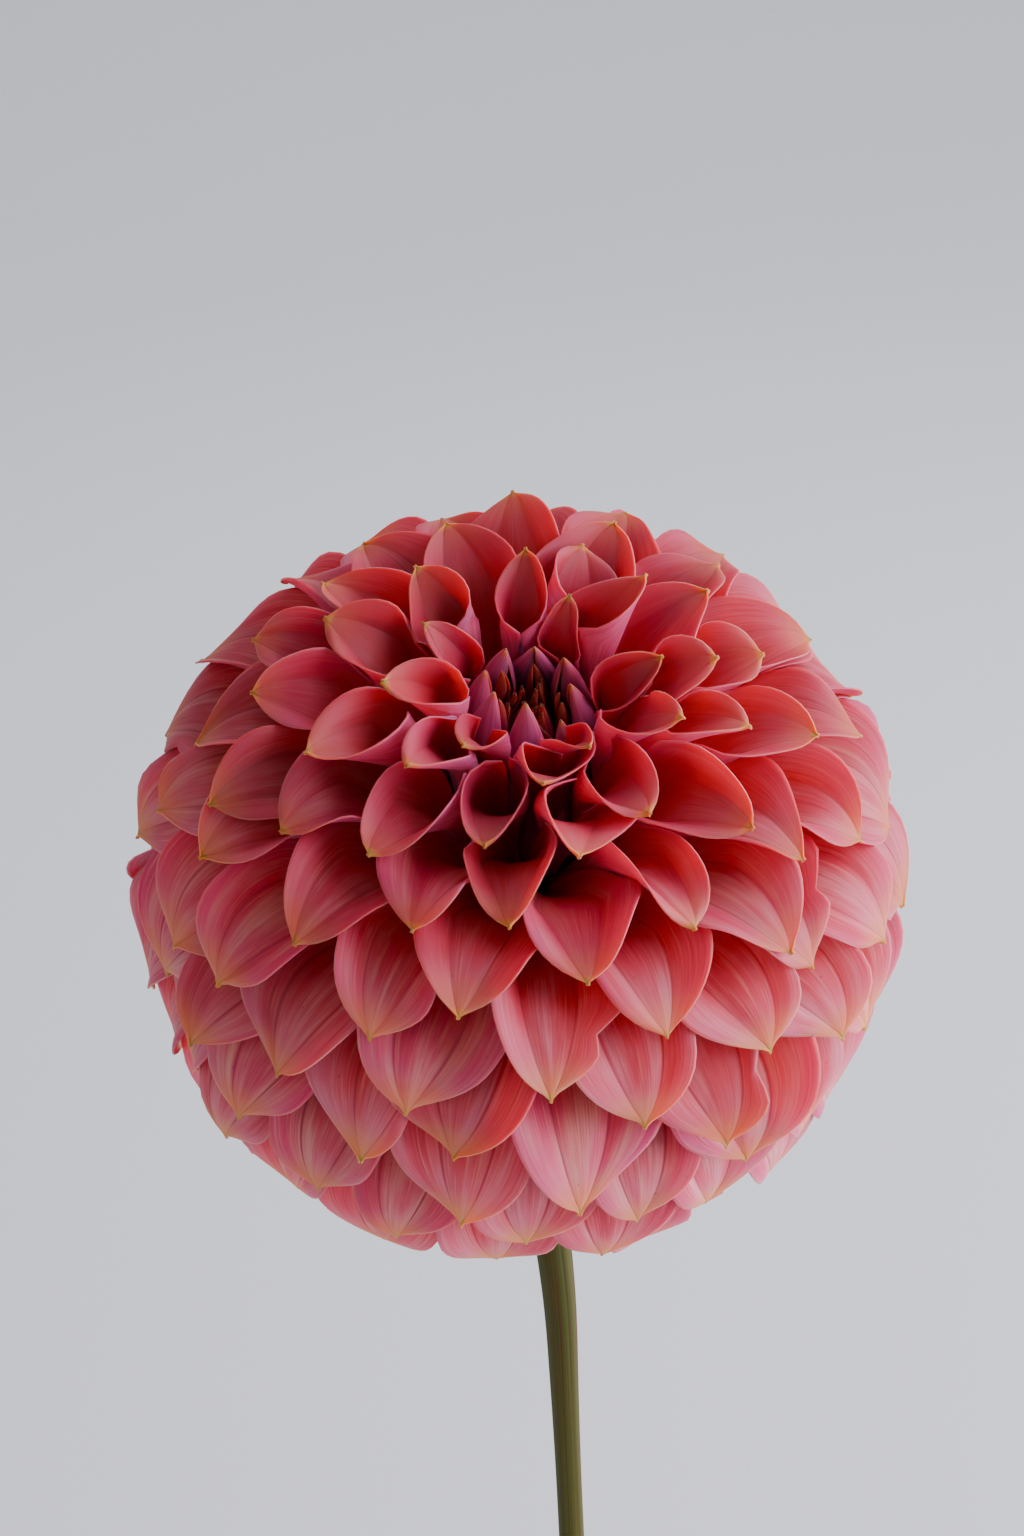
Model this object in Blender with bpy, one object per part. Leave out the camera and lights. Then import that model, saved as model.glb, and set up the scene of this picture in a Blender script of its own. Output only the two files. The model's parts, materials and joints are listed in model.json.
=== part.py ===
"""Ball dahlia on its cut stem, standing in a plain stoneware bud vase.

Metres, +Z up. The origin is the centre of the vase's foot, and the flower leans towards -Y.
The head is laid out as it grows: floret by floret from the centre, each one turned by the
golden angle from the last, from the closed bud at the pole to the reflexed florets round the
stem. Each run of eight ray florets stands on its own thin collar of tissue on the dome.
"""

import math

import bmesh
import bpy
from mathutils import Vector

MM = 0.001

# The head: a ball of florets round a fleshy dome, the top of the stem.
BALL_RADIUS = 55 * MM
BALL_CENTRE = Vector((-10 * MM, -40.2 * MM, 304 * MM))
HEAD_AXIS = Vector((0.0371, -0.4511, 0.8916)).normalized()
CRATER_DEPTH = 0.18
CRATER_ANGLE = 0.45
DOME_RADIUS = 13 * MM
CLEARANCE = 0.3 * MM
COLLAR_THICKNESS = 0.7 * MM
COLLAR_SIDES = 16
ROOT_RADIUS = DOME_RADIUS + CLEARANCE + COLLAR_THICKNESS / 3
SHARP_ANGLE = math.radians(50)

# The spiral of ray florets, as angles from the head's axis and around it.
FLORET_COUNT = 150
FLORETS_PER_RING = 8
RING_COUNT = math.ceil(FLORET_COUNT / FLORETS_PER_RING)
GOLDEN_ANGLE = math.radians(137.47)
FIRST_AZIMUTH = math.radians(70.5)
FIRST_TIP_ANGLE = math.radians(15.7)
TIP_ANGLE_SPAN = math.radians(119.4)
SPAN_FLORETS = 160
SPIRAL_POWER = 0.864
BASE_ANGLE_FIRST = math.radians(24)
BASE_ANGLE_LAST = math.radians(112)

# How the florets change outwards, each over a span of angles from the axis: they grow to
# their full width, and their tips bend back.
GROWTH_START = math.radians(10)
GROWTH_SPAN = math.radians(45)
REFLEX_START = math.radians(12)
REFLEX_SPAN = math.radians(88)

# Every blade, in shares of its length: the reach of its midrib's handles at the foot and at
# the tip, the end of its narrow claw, the shoulder where its point begins, and where its cup
# is full and starts to open again.
FOOT_HANDLE = 0.42
TIP_HANDLE = 0.38
CLAW_WIDTH = 0.15
CLAW_END = 0.18
SHOULDER = 0.72
POINT_POWER = 0.75
CUP_FULL = 0.3
CUP_OPENS_OVER = 0.6

# A ray floret: its greatest half width, its thickness, its cup and how far its tip bends back.
HALF_WIDTH_INNER = 4.2 * MM
HALF_WIDTH_OUTER = 11.2 * MM
FLORET_THICKNESS = 0.6 * MM
CUP_BASE = math.radians(8)
CUP_MIDDLE = math.radians(52)
CUP_TIP = math.radians(36)
CUP_INNER = 1.12
REFLEX_OUTER = math.radians(68)
FLORET_ROWS = (0.0, 0.42, 0.74, 0.91)
COLUMNS = 5

# The closed florets of the bud, ring by ring: name, count, distance from the axis at the
# dome, at the bulge and at the tip, height of the tip over the ball's centre, bulge radius.
BUD_RINGS = (
    ("bud_florets_outer", 8, 3.9 * MM, 5.7 * MM, 3.6 * MM, 42 * MM, 2.0 * MM),
    ("bud_florets_inner", 5, 2.0 * MM, 2.2 * MM, 1.5 * MM, 41 * MM, 1.1 * MM),
)
BUD_CORE = ("bud_core", 1, 0.0, 0.0, 0.0, 37 * MM, 0.6 * MM)
BUD_ROWS = ((0.0, 0.30), (0.35, 0.42), (0.62, 1.0), (0.82, 0.8))
BUD_MIDDLE = 0.55
BUD_SIDES = 6

# Bracts behind the head: count, base and tip angle, tip distance, half width, bend, cup.
INNER_BRACTS = (8, math.radians(121), math.radians(137), 33 * MM, 5.0 * MM, 30, 30)
OUTER_BRACTS = (5, math.radians(134), math.radians(158), 29 * MM, 3.4 * MM, -35, 24)
BRACT_THICKNESS = 0.6 * MM
BRACT_BASE_LIFT = 0.5 * MM

# The stem: the dome, a neck that bends over to it, and a straight shank down to its cut end,
# which stands on the vase's floor. The shank leans on the front of the vase's lip.
STEM_RADIUS = 2.1 * MM
NECK_RADIUS = 3.5 * MM
NECK_START = 24 * MM
NECK_END = Vector((-3.2 * MM, -19.7 * MM, 214 * MM))
STEM_FOOT = Vector((6.0 * MM, 8.2 * MM, 8.7 * MM))
STEM_CUT = math.radians(35)
TAPER_LENGTH = 100 * MM
DOME_STATIONS = 8
DOME_EDGE = math.radians(132)
WAIST_PLACE = 0.55
WAIST_SHARE = 0.6
NECK_HANDLE = 0.3
SHANK_HANDLE = 0.45
NECK_STATIONS = 9
SHANK_STATIONS = 6

# The vase, turned: foot, belly, shoulder, neck and lip.
VASE_HEIGHT = 145 * MM
VASE_SIDES = 36
VASE_STATIONS = 10
FOOT_RADIUS = 29 * MM
BELLY_RADIUS = 36 * MM
BELLY_HEIGHT = 40 * MM
NECK_OUTER = 13.7 * MM
NECK_HEIGHT = 114 * MM
LIP_OUTER = 16 * MM
VASE_WALL = 3.2 * MM
VASE_FLOOR = 7 * MM
FOOT_CHAMFER = 1.5 * MM
LIP_ROUND = 0.9 * MM


def clear_scene():
    """Remove every object of the startup scene."""
    for old in list(bpy.data.objects):
        bpy.data.objects.remove(old)


def finish(name, base_color, roughness):
    """Make a material with the sub-part's colour and roughness."""
    material = bpy.data.materials.new(name)
    material.use_nodes = True
    shader = material.node_tree.nodes["Principled BSDF"]
    shader.inputs["Base Color"].default_value = (*base_color, 1.0)
    shader.inputs["Roughness"].default_value = roughness
    shader.inputs["Metallic"].default_value = 0.0
    return material


def add_object(name, mesh_data, material):
    """Turn a bmesh into a named, smooth-shaded object with its material."""
    bmesh.ops.recalc_face_normals(mesh_data, faces=mesh_data.faces[:])
    mesh = bpy.data.meshes.new(name)
    mesh_data.to_mesh(mesh)
    mesh_data.free()
    mesh.materials.append(material)
    mesh.shade_smooth()
    mesh.set_sharp_from_angle(angle=SHARP_ANGLE)
    made = bpy.data.objects.new(name, mesh)
    bpy.context.scene.collection.objects.link(made)
    return made


def smooth_step(value):
    """Rise smoothly from 0 to 1 as value goes from 0 to 1."""
    value = min(max(value, 0.0), 1.0)
    return value * value * (3 - 2 * value)


def mix(low, high, share):
    """Blend from low to high."""
    return low + (high - low) * share


SIDE = (Vector((1, 0, 0)) - HEAD_AXIS * HEAD_AXIS.x).normalized()
FRONT = HEAD_AXIS.cross(SIDE)


def radial(azimuth):
    """Return the direction square to the head's axis at this azimuth."""
    return SIDE * math.cos(azimuth) + FRONT * math.sin(azimuth)


def polar(radius, angle):
    """Return a point of the half plane beside the axis, as (outwards, along the axis)."""
    return Vector((radius * math.sin(angle), radius * math.cos(angle)))


def in_head(azimuth, point):
    """Place a point of the half plane at this azimuth of the head."""
    return BALL_CENTRE + radial(azimuth) * point.x + HEAD_AXIS * point.y


def bezier(a, b, c, d, share):
    """Return the point and the unit direction at this share of a cubic curve."""
    rest = 1 - share
    point = a * rest**3 + b * 3 * rest**2 * share + c * 3 * rest * share**2 + d * share**3
    slope = (b - a) * rest**2 + (c - b) * 2 * rest * share + (d - c) * share**2
    return point, slope.normalized()


def join_union(body, others):
    """Join the other objects to a body with Boolean unions, and remove them."""
    for other in others:
        union = body.modifiers.new("join", "BOOLEAN")
        union.operation = "UNION"
        union.object = other
    graph = bpy.context.evaluated_depsgraph_get()
    joined = bpy.data.meshes.new_from_object(body.evaluated_get(graph))
    body.modifiers.clear()
    body.data = joined
    for other in others:
        bpy.data.objects.remove(other)


# Blades: the ray florets and the bracts.


class Blade:
    """A cupped, pointed blade whose midrib leaves the dome squarely and bends over."""

    def __init__(self, azimuth, base_angle, base_radius, tip, bend, widest, cups, thickness):
        self.azimuth = azimuth
        self.widest = widest
        self.cups = cups
        self.thickness = thickness
        start = polar(base_radius, base_angle)
        tip_radius, tip_angle = tip
        end = polar(tip_radius, tip_angle)
        reach = (end - start).length
        lift = start + polar(reach * FOOT_HANDLE, base_angle)
        land = end - polar(reach * TIP_HANDLE, tip_angle + bend)
        self.midrib = (start, lift, land, end)

    def half_width(self, share):
        """Return the half width: a narrow claw, a broad blade, a pointed tip."""
        claw = mix(CLAW_WIDTH, 1.0, smooth_step((share - CLAW_END) / (SHOULDER - CLAW_END)))
        point_share = max(share - SHOULDER, 0.0) / (1 - SHOULDER)
        point = math.cos(point_share * math.pi / 2) ** POINT_POWER
        return self.widest * claw * point

    def row(self, share):
        """Return the upper and the lower points across the blade at this share."""
        point, slope = bezier(*self.midrib, share)
        outward = radial(self.azimuth)
        across = HEAD_AXIS.cross(outward)
        inward = HEAD_AXIS * slope.x - outward * slope.y
        centre = in_head(self.azimuth, point)
        middle_cup, tip_cup = self.cups
        cup = mix(middle_cup, tip_cup, smooth_step((share - CUP_FULL) / CUP_OPENS_OVER))
        cup = mix(CUP_BASE, cup, smooth_step(share / CUP_FULL))
        bend = self.half_width(share) / cup
        upper = []
        lower = []
        for column in range(COLUMNS):
            turn = cup * (2 * column / (COLUMNS - 1) - 1)
            spot = centre + across * bend * math.sin(turn) + inward * bend * (1 - math.cos(turn))
            under = across * math.sin(turn) - inward * math.cos(turn)
            upper.append(spot)
            lower.append(spot + under * self.thickness)
        return upper, lower

    def build(self, name, material):
        """Build the blade as one closed solid, thin at its margins."""
        mesh_data = bmesh.new()
        sides = ([], [])
        for share in FLORET_ROWS:
            upper, lower = self.row(share)
            tops = [mesh_data.verts.new(spot) for spot in upper]
            lows = [mesh_data.verts.new(spot) for spot in lower[1:-1]]
            sides[0].append(tops)
            sides[1].append([tops[0], *lows, tops[-1]])
        tip = mesh_data.verts.new(in_head(self.azimuth, self.midrib[-1]))
        for rows in sides:
            for row, following in zip(rows, rows[1:]):
                for left in range(COLUMNS - 1):
                    quad = (row[left], row[left + 1], following[left + 1], following[left])
                    mesh_data.faces.new(quad)
            for left in range(COLUMNS - 1):
                mesh_data.faces.new((rows[-1][left], rows[-1][left + 1], tip))
        mesh_data.faces.new([*sides[0][0], *reversed(sides[1][0][1:-1])])
        return add_object(name, mesh_data, material)


def tip_angle(index):
    """Return the angle between the head's axis and the tip of this ray floret."""
    return FIRST_TIP_ANGLE + TIP_ANGLE_SPAN * (index / SPAN_FLORETS) ** SPIRAL_POWER


def tip_radius(angle):
    """Return how far a tip stands from the ball's centre, less over the crater of the bud."""
    return BALL_RADIUS * (1 - CRATER_DEPTH * math.exp(-((angle / CRATER_ANGLE) ** 2)))


def collar_angle(ring):
    """Return the angle of a ring's collar on the dome."""
    return mix(BASE_ANGLE_FIRST, BASE_ANGLE_LAST, (ring + 0.5) / RING_COUNT)


def build_ray_floret(index, material):
    """Build one ray floret as an object of its own, to be joined to its ring."""
    angle = tip_angle(index)
    growth = smooth_step((angle - GROWTH_START) / GROWTH_SPAN)
    cup = mix(CUP_INNER, 1.0, growth)
    blade = Blade(
        azimuth=FIRST_AZIMUTH - index * GOLDEN_ANGLE,
        base_angle=collar_angle(index // FLORETS_PER_RING),
        base_radius=ROOT_RADIUS,
        tip=(tip_radius(angle), angle),
        bend=REFLEX_OUTER * smooth_step((angle - REFLEX_START) / REFLEX_SPAN),
        widest=mix(HALF_WIDTH_INNER, HALF_WIDTH_OUTER, growth),
        cups=(CUP_MIDDLE * cup, CUP_TIP * cup),
        thickness=FLORET_THICKNESS,
    )
    return blade.build(f"floret_{index:03d}", material)


def build_collar(name, low_angle, high_angle, material):
    """Build a thin band of tissue on the dome, between two angles from the head's axis."""
    inner = DOME_RADIUS + CLEARANCE
    outer = inner + COLLAR_THICKNESS
    outline = (
        polar(inner, low_angle),
        polar(outer, low_angle),
        polar(outer, high_angle),
        polar(inner, high_angle),
    )
    mesh_data = bmesh.new()
    loops = []
    for side in range(COLLAR_SIDES):
        azimuth = 2 * math.pi * side / COLLAR_SIDES
        loops.append([mesh_data.verts.new(in_head(azimuth, point)) for point in outline])
    for loop, following in zip(loops, loops[1:] + loops[:1]):
        for corner in range(len(outline)):
            after = (corner + 1) % len(outline)
            mesh_data.faces.new((loop[corner], loop[after], following[after], following[corner]))
    return add_object(name, mesh_data, material)


def build_rings(material):
    """Build every ring of ray florets, from the centre outwards."""
    half = (BASE_ANGLE_LAST - BASE_ANGLE_FIRST) / RING_COUNT / 2 - CLEARANCE / 2 / DOME_RADIUS
    for ring in range(RING_COUNT):
        first = ring * FLORETS_PER_RING
        members = range(first, min(first + FLORETS_PER_RING, FLORET_COUNT))
        middle = collar_angle(ring)
        name = f"ray_floret_ring_{ring + 1:02d}"
        collar = build_collar(name, middle - half, middle + half, material)
        join_union(collar, [build_ray_floret(index, material) for index in members])


def build_bracts(name, sizes, material):
    """Build the bracts of one whorl behind the head, each one a piece of its own."""
    count, base_angle, end_angle, end_radius, widest, bend, cup = sizes
    for number in range(count):
        blade = Blade(
            azimuth=2 * math.pi * number / count,
            base_angle=base_angle,
            base_radius=DOME_RADIUS + BRACT_BASE_LIFT,
            tip=(end_radius, end_angle),
            bend=math.radians(bend),
            widest=widest,
            cups=(math.radians(cup), math.radians(cup)),
            thickness=BRACT_THICKNESS,
        )
        blade.build(f"{name}_{number + 1}", material)


# The bud.


def build_bud_floret(name, azimuth, sizes, material):
    """Build one closed floret: a slender foot, a bulge and a point that leans to the axis."""
    foot, bulge_place, tip_place, tip_height, bulge = sizes
    start = Vector((foot, ROOT_RADIUS))
    end = Vector((tip_place, tip_height))
    middle = Vector((bulge_place * 2 - (foot + tip_place) / 2, mix(start.y, end.y, BUD_MIDDLE)))
    mesh_data = bmesh.new()
    loops = []
    for share, size in BUD_ROWS:
        rest = 1 - share
        centre = start * rest**2 + middle * 2 * rest * share + end * share**2
        loop = []
        for side in range(BUD_SIDES):
            turn = 2 * math.pi * side / BUD_SIDES
            place = centre + Vector((bulge * size * math.cos(turn), 0))
            across = HEAD_AXIS.cross(radial(azimuth)) * bulge * size * math.sin(turn)
            loop.append(mesh_data.verts.new(in_head(azimuth, place) + across))
        loops.append(loop)
    tip = mesh_data.verts.new(in_head(azimuth, end))
    for loop, following in zip(loops, loops[1:]):
        for side in range(BUD_SIDES):
            after = (side + 1) % BUD_SIDES
            mesh_data.faces.new((loop[side], loop[after], following[after], following[side]))
    for side in range(BUD_SIDES):
        mesh_data.faces.new((loops[-1][side], loops[-1][(side + 1) % BUD_SIDES], tip))
    mesh_data.faces.new(loops[0])
    return add_object(name, mesh_data, material)


def build_bud(material):
    """Build the closed florets at the pole of the head, ring by ring, and the core."""
    for name, count, foot, *sizes in BUD_RINGS:
        half = BUD_RINGS[-1][2] / 2 / DOME_RADIUS - CLEARANCE / 2 / DOME_RADIUS
        middle = foot / DOME_RADIUS
        collar = build_collar(name, middle - half, middle + half, material)
        turns = [2 * math.pi * number / count for number in range(count)]
        members = [
            build_bud_floret(f"{name}_{number}", turn, (foot, *sizes), material)
            for number, turn in enumerate(turns)
        ]
        join_union(collar, members)
    name, _, *sizes = BUD_CORE
    build_bud_floret(name, 0.0, sizes, material)


# The stem.


def stem_radius(centre):
    """Return the stem's radius here: stout at the neck, slender further down."""
    drop = BALL_CENTRE.z - NECK_START - centre.z
    return mix(NECK_RADIUS, STEM_RADIUS, smooth_step(drop / TAPER_LENGTH))


def stem_stations():
    """Return the (centre, direction, radius) of each cross-section, from the dome down."""
    stations = []
    for number in range(1, DOME_STATIONS + 1):
        place = polar(DOME_RADIUS, DOME_EDGE * number / DOME_STATIONS)
        stations.append((BALL_CENTRE + HEAD_AXIS * place.y, -HEAD_AXIS, place.x))
    neck_top = BALL_CENTRE - HEAD_AXIS * NECK_START
    rim, _, rim_radius = stations[-1]
    waist_radius = mix(rim_radius, NECK_RADIUS, WAIST_SHARE)
    stations.append((mix(rim, neck_top, WAIST_PLACE), -HEAD_AXIS, waist_radius))
    down = (STEM_FOOT - NECK_END).normalized()
    reach = (NECK_END - neck_top).length
    lift = neck_top - HEAD_AXIS * reach * NECK_HANDLE
    land = NECK_END - down * reach * SHANK_HANDLE
    curve = (neck_top, lift, land, NECK_END)
    for number in range(NECK_STATIONS):
        point, slope = bezier(*curve, number / NECK_STATIONS)
        stations.append((point, slope, stem_radius(point)))
    for number in range(SHANK_STATIONS + 1):
        point = mix(NECK_END, STEM_FOOT, number / SHANK_STATIONS)
        stations.append((point, down, stem_radius(point)))
    return stations


def build_stem(material):
    """Build the stem in one piece: dome, bent neck and shank, with a slanting cut."""
    mesh_data = bmesh.new()
    pole = mesh_data.verts.new(BALL_CENTRE + HEAD_AXIS * DOME_RADIUS)
    stations = stem_stations()
    across = SIDE
    loops = []
    for number, (centre, slope, radius) in enumerate(stations):
        across = (across - slope * across.dot(slope)).normalized()
        beside = across.cross(slope)
        is_cut = number == len(stations) - 1
        loop = []
        for side in range(COLLAR_SIDES):
            turn = 2 * math.pi * side / COLLAR_SIDES
            spot = centre + across * radius * math.cos(turn) - beside * radius * math.sin(turn)
            if is_cut:
                spot += slope * radius * math.cos(turn) * math.tan(STEM_CUT)
            loop.append(mesh_data.verts.new(spot))
        loops.append(loop)
    for side in range(COLLAR_SIDES):
        mesh_data.faces.new((pole, loops[0][side], loops[0][(side + 1) % COLLAR_SIDES]))
    for loop, following in zip(loops, loops[1:]):
        for side in range(COLLAR_SIDES):
            after = (side + 1) % COLLAR_SIDES
            mesh_data.faces.new((loop[side], following[side], following[after], loop[after]))
    mesh_data.faces.new(loops[-1])
    add_object("stem", mesh_data, material)


# The vase.


def vase_radius(height):
    """Return the vase's outer radius at this height."""
    if height < BELLY_HEIGHT:
        return BELLY_RADIUS - (BELLY_RADIUS - FOOT_RADIUS) * (1 - height / BELLY_HEIGHT) ** 2
    if height < NECK_HEIGHT:
        share = (height - BELLY_HEIGHT) / (NECK_HEIGHT - BELLY_HEIGHT)
        return mix(BELLY_RADIUS, NECK_OUTER, smooth_step(share))
    share = (height - NECK_HEIGHT) / (VASE_HEIGHT - NECK_HEIGHT)
    return mix(NECK_OUTER, LIP_OUTER, share**2)


def vase_outline():
    """Return the vase's section as (radius, height) points, up the outside, down the inside."""
    outline = [(FOOT_RADIUS - FOOT_CHAMFER, 0.0)]
    for number in range(VASE_STATIONS):
        height = mix(FOOT_CHAMFER, VASE_HEIGHT - LIP_ROUND, number / (VASE_STATIONS - 1))
        outline.append((vase_radius(height), height))
    outline.append((LIP_OUTER - LIP_ROUND, VASE_HEIGHT))
    outline.append((LIP_OUTER - VASE_WALL + LIP_ROUND, VASE_HEIGHT))
    for number in range(VASE_STATIONS):
        height = mix(VASE_HEIGHT - LIP_ROUND, VASE_FLOOR + FOOT_CHAMFER, number / (VASE_STATIONS - 1))
        outline.append((vase_radius(height) - VASE_WALL, height))
    outline.append((FOOT_RADIUS - VASE_WALL - FOOT_CHAMFER, VASE_FLOOR))
    return outline


def build_vase(material):
    """Build the vase as one hollow turned solid with a flat foot."""
    mesh_data = bmesh.new()
    outline = vase_outline()
    loops = []
    for side in range(VASE_SIDES):
        turn = 2 * math.pi * side / VASE_SIDES
        spots = [(r * math.cos(turn), r * math.sin(turn), z) for r, z in outline]
        loops.append([mesh_data.verts.new(spot) for spot in spots])
    for loop, following in zip(loops, loops[1:] + loops[:1]):
        for corner in range(len(outline) - 1):
            quad = (loop[corner], following[corner], following[corner + 1], loop[corner + 1])
            mesh_data.faces.new(quad)
    for end in (0, -1):
        mesh_data.faces.new([loop[end] for loop in loops])
    add_object("bud_vase", mesh_data, material)


def main():
    """Build the whole object."""
    clear_scene()
    petal = finish("ray_floret", (0.72, 0.16, 0.17), 0.55)
    bud = finish("bud_floret", (0.33, 0.05, 0.09), 0.5)
    green = finish("stem_green", (0.13, 0.12, 0.03), 0.45)
    bract = finish("bract_green", (0.2, 0.24, 0.06), 0.6)
    glaze = finish("glazed_stoneware", (0.8, 0.79, 0.75), 0.25)
    build_vase(glaze)
    build_stem(green)
    build_bracts("outer_bract", OUTER_BRACTS, bract)
    build_bracts("inner_bract", INNER_BRACTS, bract)
    build_bud(bud)
    build_rings(petal)


main()
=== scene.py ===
"""Looks of a ball dahlia that stands in a bud vase: florets, bud, bracts, stem, glaze and studio.

Metres, +Z up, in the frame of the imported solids, whose origin is the centre of the vase's foot.
The head is laid out as it grows. Each floret is a cupped blade, modelled beside the head's axis
and then turned round that axis by the golden angle from the one before it.
"""

import json
import logging
import math
from collections.abc import Iterable, Mapping, Sequence
from dataclasses import dataclass
from enum import Enum
from typing import Any

import bmesh
import bpy
import numpy as np
from mathutils import Matrix, Vector

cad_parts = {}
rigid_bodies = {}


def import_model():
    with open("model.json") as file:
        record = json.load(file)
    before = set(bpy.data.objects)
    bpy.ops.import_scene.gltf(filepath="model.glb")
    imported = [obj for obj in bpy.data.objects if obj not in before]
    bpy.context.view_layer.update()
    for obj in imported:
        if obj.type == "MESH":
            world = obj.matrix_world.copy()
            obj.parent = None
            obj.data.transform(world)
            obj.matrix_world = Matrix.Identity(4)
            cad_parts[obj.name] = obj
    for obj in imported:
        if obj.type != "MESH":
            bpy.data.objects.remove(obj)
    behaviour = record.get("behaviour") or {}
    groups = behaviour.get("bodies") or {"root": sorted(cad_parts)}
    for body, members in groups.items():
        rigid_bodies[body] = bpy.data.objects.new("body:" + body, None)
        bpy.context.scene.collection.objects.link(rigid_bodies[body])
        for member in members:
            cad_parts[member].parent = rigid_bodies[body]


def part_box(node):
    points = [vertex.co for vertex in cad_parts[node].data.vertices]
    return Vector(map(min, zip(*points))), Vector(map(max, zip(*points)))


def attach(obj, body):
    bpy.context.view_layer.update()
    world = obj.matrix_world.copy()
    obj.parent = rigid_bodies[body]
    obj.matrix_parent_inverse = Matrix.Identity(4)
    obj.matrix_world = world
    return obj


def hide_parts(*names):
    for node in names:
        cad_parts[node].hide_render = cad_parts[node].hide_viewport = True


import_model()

MM = 0.001
ROOT = "root"
LOG = logging.getLogger("dahlia")

HEAD_AXIS = Vector((0.0371, -0.4511, 0.8916)).normalized()
"""The way the flower faces."""

CORE_FOOT = 13.5 * MM
CORE_TIP = 37 * MM
"""Where the bud's core starts and ends, along the axis from the ball's centre."""

SHARP_ANGLE = math.radians(50)
"""Edges that bend more than this stay hard on turned pieces and on the stem's cut."""

RAY_SEED, STRAY_SEED, BUD_SEED, BRACT_SEED, NATURE_SEED = 300, 900, 50, 800, 5000
"""What each use of chance adds to a leaf's own number, so that no two draws are the same."""


def linear(colour: str) -> tuple[float, float, float, float]:
    """Turn an sRGB hex colour into linear light.

    Args:
        colour: The colour as #rrggbb.

    Returns:
        Linear red, green and blue, with full alpha.
    """
    parts = [int(colour[start : start + 2], 16) / 255 for start in (1, 3, 5)]
    light = [part / 12.92 if part <= 0.04045 else ((part + 0.055) / 1.055) ** 2.4 for part in parts]
    return (light[0], light[1], light[2], 1.0)


def feed(node: bpy.types.Node, inputs: Mapping[str | int, Any]) -> None:
    """Give a node's inputs what they take.

    Args:
        node: The node.
        inputs: For each input socket, a value, a colour as #rrggbb, or the output socket that
            feeds it.
    """
    for name, value in inputs.items():
        if isinstance(value, bpy.types.NodeSocket):
            node.id_data.links.new(value, node.inputs[name])
        else:
            node.inputs[name].default_value = linear(value) if isinstance(value, str) else value


def add_node(
    tree: bpy.types.NodeTree,
    kind: str,
    settings: Mapping[str, Any] | None = None,
    inputs: Mapping[str | int, Any] | None = None,
) -> bpy.types.Node:
    """Add a node with its settings, its values and its links.

    Args:
        tree: The tree that takes the node.
        kind: The node's type.
        settings: Values of the node's own properties.
        inputs: What feeds its input sockets, as the function feed takes it.

    Returns:
        The new node.
    """
    node = tree.nodes.new(kind)
    for name, value in (settings or {}).items():
        setattr(node, name, value)
    feed(node, inputs or {})
    return node


def new_material(name: str) -> tuple[bpy.types.Material, bpy.types.NodeTree, bpy.types.Node]:
    """Start a material.

    Args:
        name: The material's name.

    Returns:
        The material, its node tree and its shader.
    """
    made = bpy.data.materials.new(name)
    made.use_nodes = True
    return made, made.node_tree, made.node_tree.nodes["Principled BSDF"]


def set_stops(ramp: bpy.types.ColorRamp, stops: Iterable[tuple[float, str]]) -> None:
    """Give a colour ramp its stops.

    Args:
        ramp: The ramp, which has two stops already.
        stops: (place, #rrggbb) pairs in rising order.
    """
    for number, (place, colour) in enumerate(stops):
        if number == len(ramp.elements):
            ramp.elements.new(1.0)
        ramp.elements[number].position = place
        ramp.elements[number].color = linear(colour)


def smooth_step(value: np.ndarray | float) -> np.ndarray:
    """Rise smoothly from 0 to 1 as the value goes from 0 to 1."""
    held = np.clip(value, 0.0, 1.0)
    return held * held * (3 - 2 * held)


def rise(value: np.ndarray | float, start: float, span: float) -> np.ndarray:
    """Rise smoothly from 0 to 1 as the value goes from the start through the span."""
    return smooth_step((value - start) / span)


def mix(low: Any, high: Any, share: Any) -> Any:
    """Blend from low to high by a share between 0 and 1."""
    return low + (high - low) * share


def polar(radius: float, angle: float) -> np.ndarray:
    """Return a point beside the head's axis, as (outwards, along the axis)."""
    return np.array((radius * math.sin(angle), radius * math.cos(angle)))


def cubic(start: Any, lift: Any, land: Any, end: Any, share: Any) -> tuple[Any, Any]:
    """Follow a cubic curve.

    Args:
        start: Where it starts.
        lift: The handle that it leaves its start towards.
        land: The handle that it comes to its end from.
        end: Where it ends.
        share: How far along it to look, from 0 to 1.

    Returns:
        The point there, and a third of the slope.
    """
    rest = 1 - share
    point = start * rest**3 + lift * 3 * rest**2 * share + land * 3 * rest * share**2 + end * share**3
    slope = (lift - start) * rest**2 + (land - lift) * 2 * rest * share + (end - land) * share**2
    return point, slope


# Blades: everything leaf-like, from the open florets to the bracts.


@dataclass(frozen=True)
class Profile:
    """The numbers behind an outline, each pair for a young blade and for an old one.

    Widths are shares of the widest part, places and lengths are shares of the blade's length.
    From its claw's end the blade widens over the shoulder. From the lip's start to its end it
    closes in, later with a higher power, and blunter with less roundness.
    """

    foot_width: tuple[float, float]
    claw_end: tuple[float, float]
    shoulder: tuple[float, float]
    lip_start: tuple[float, float]
    power: tuple[float, float]
    roundness: float
    lip_end: float = 1.0
    beak_width: float = 0.0
    beak_length: float = 0.035


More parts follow.
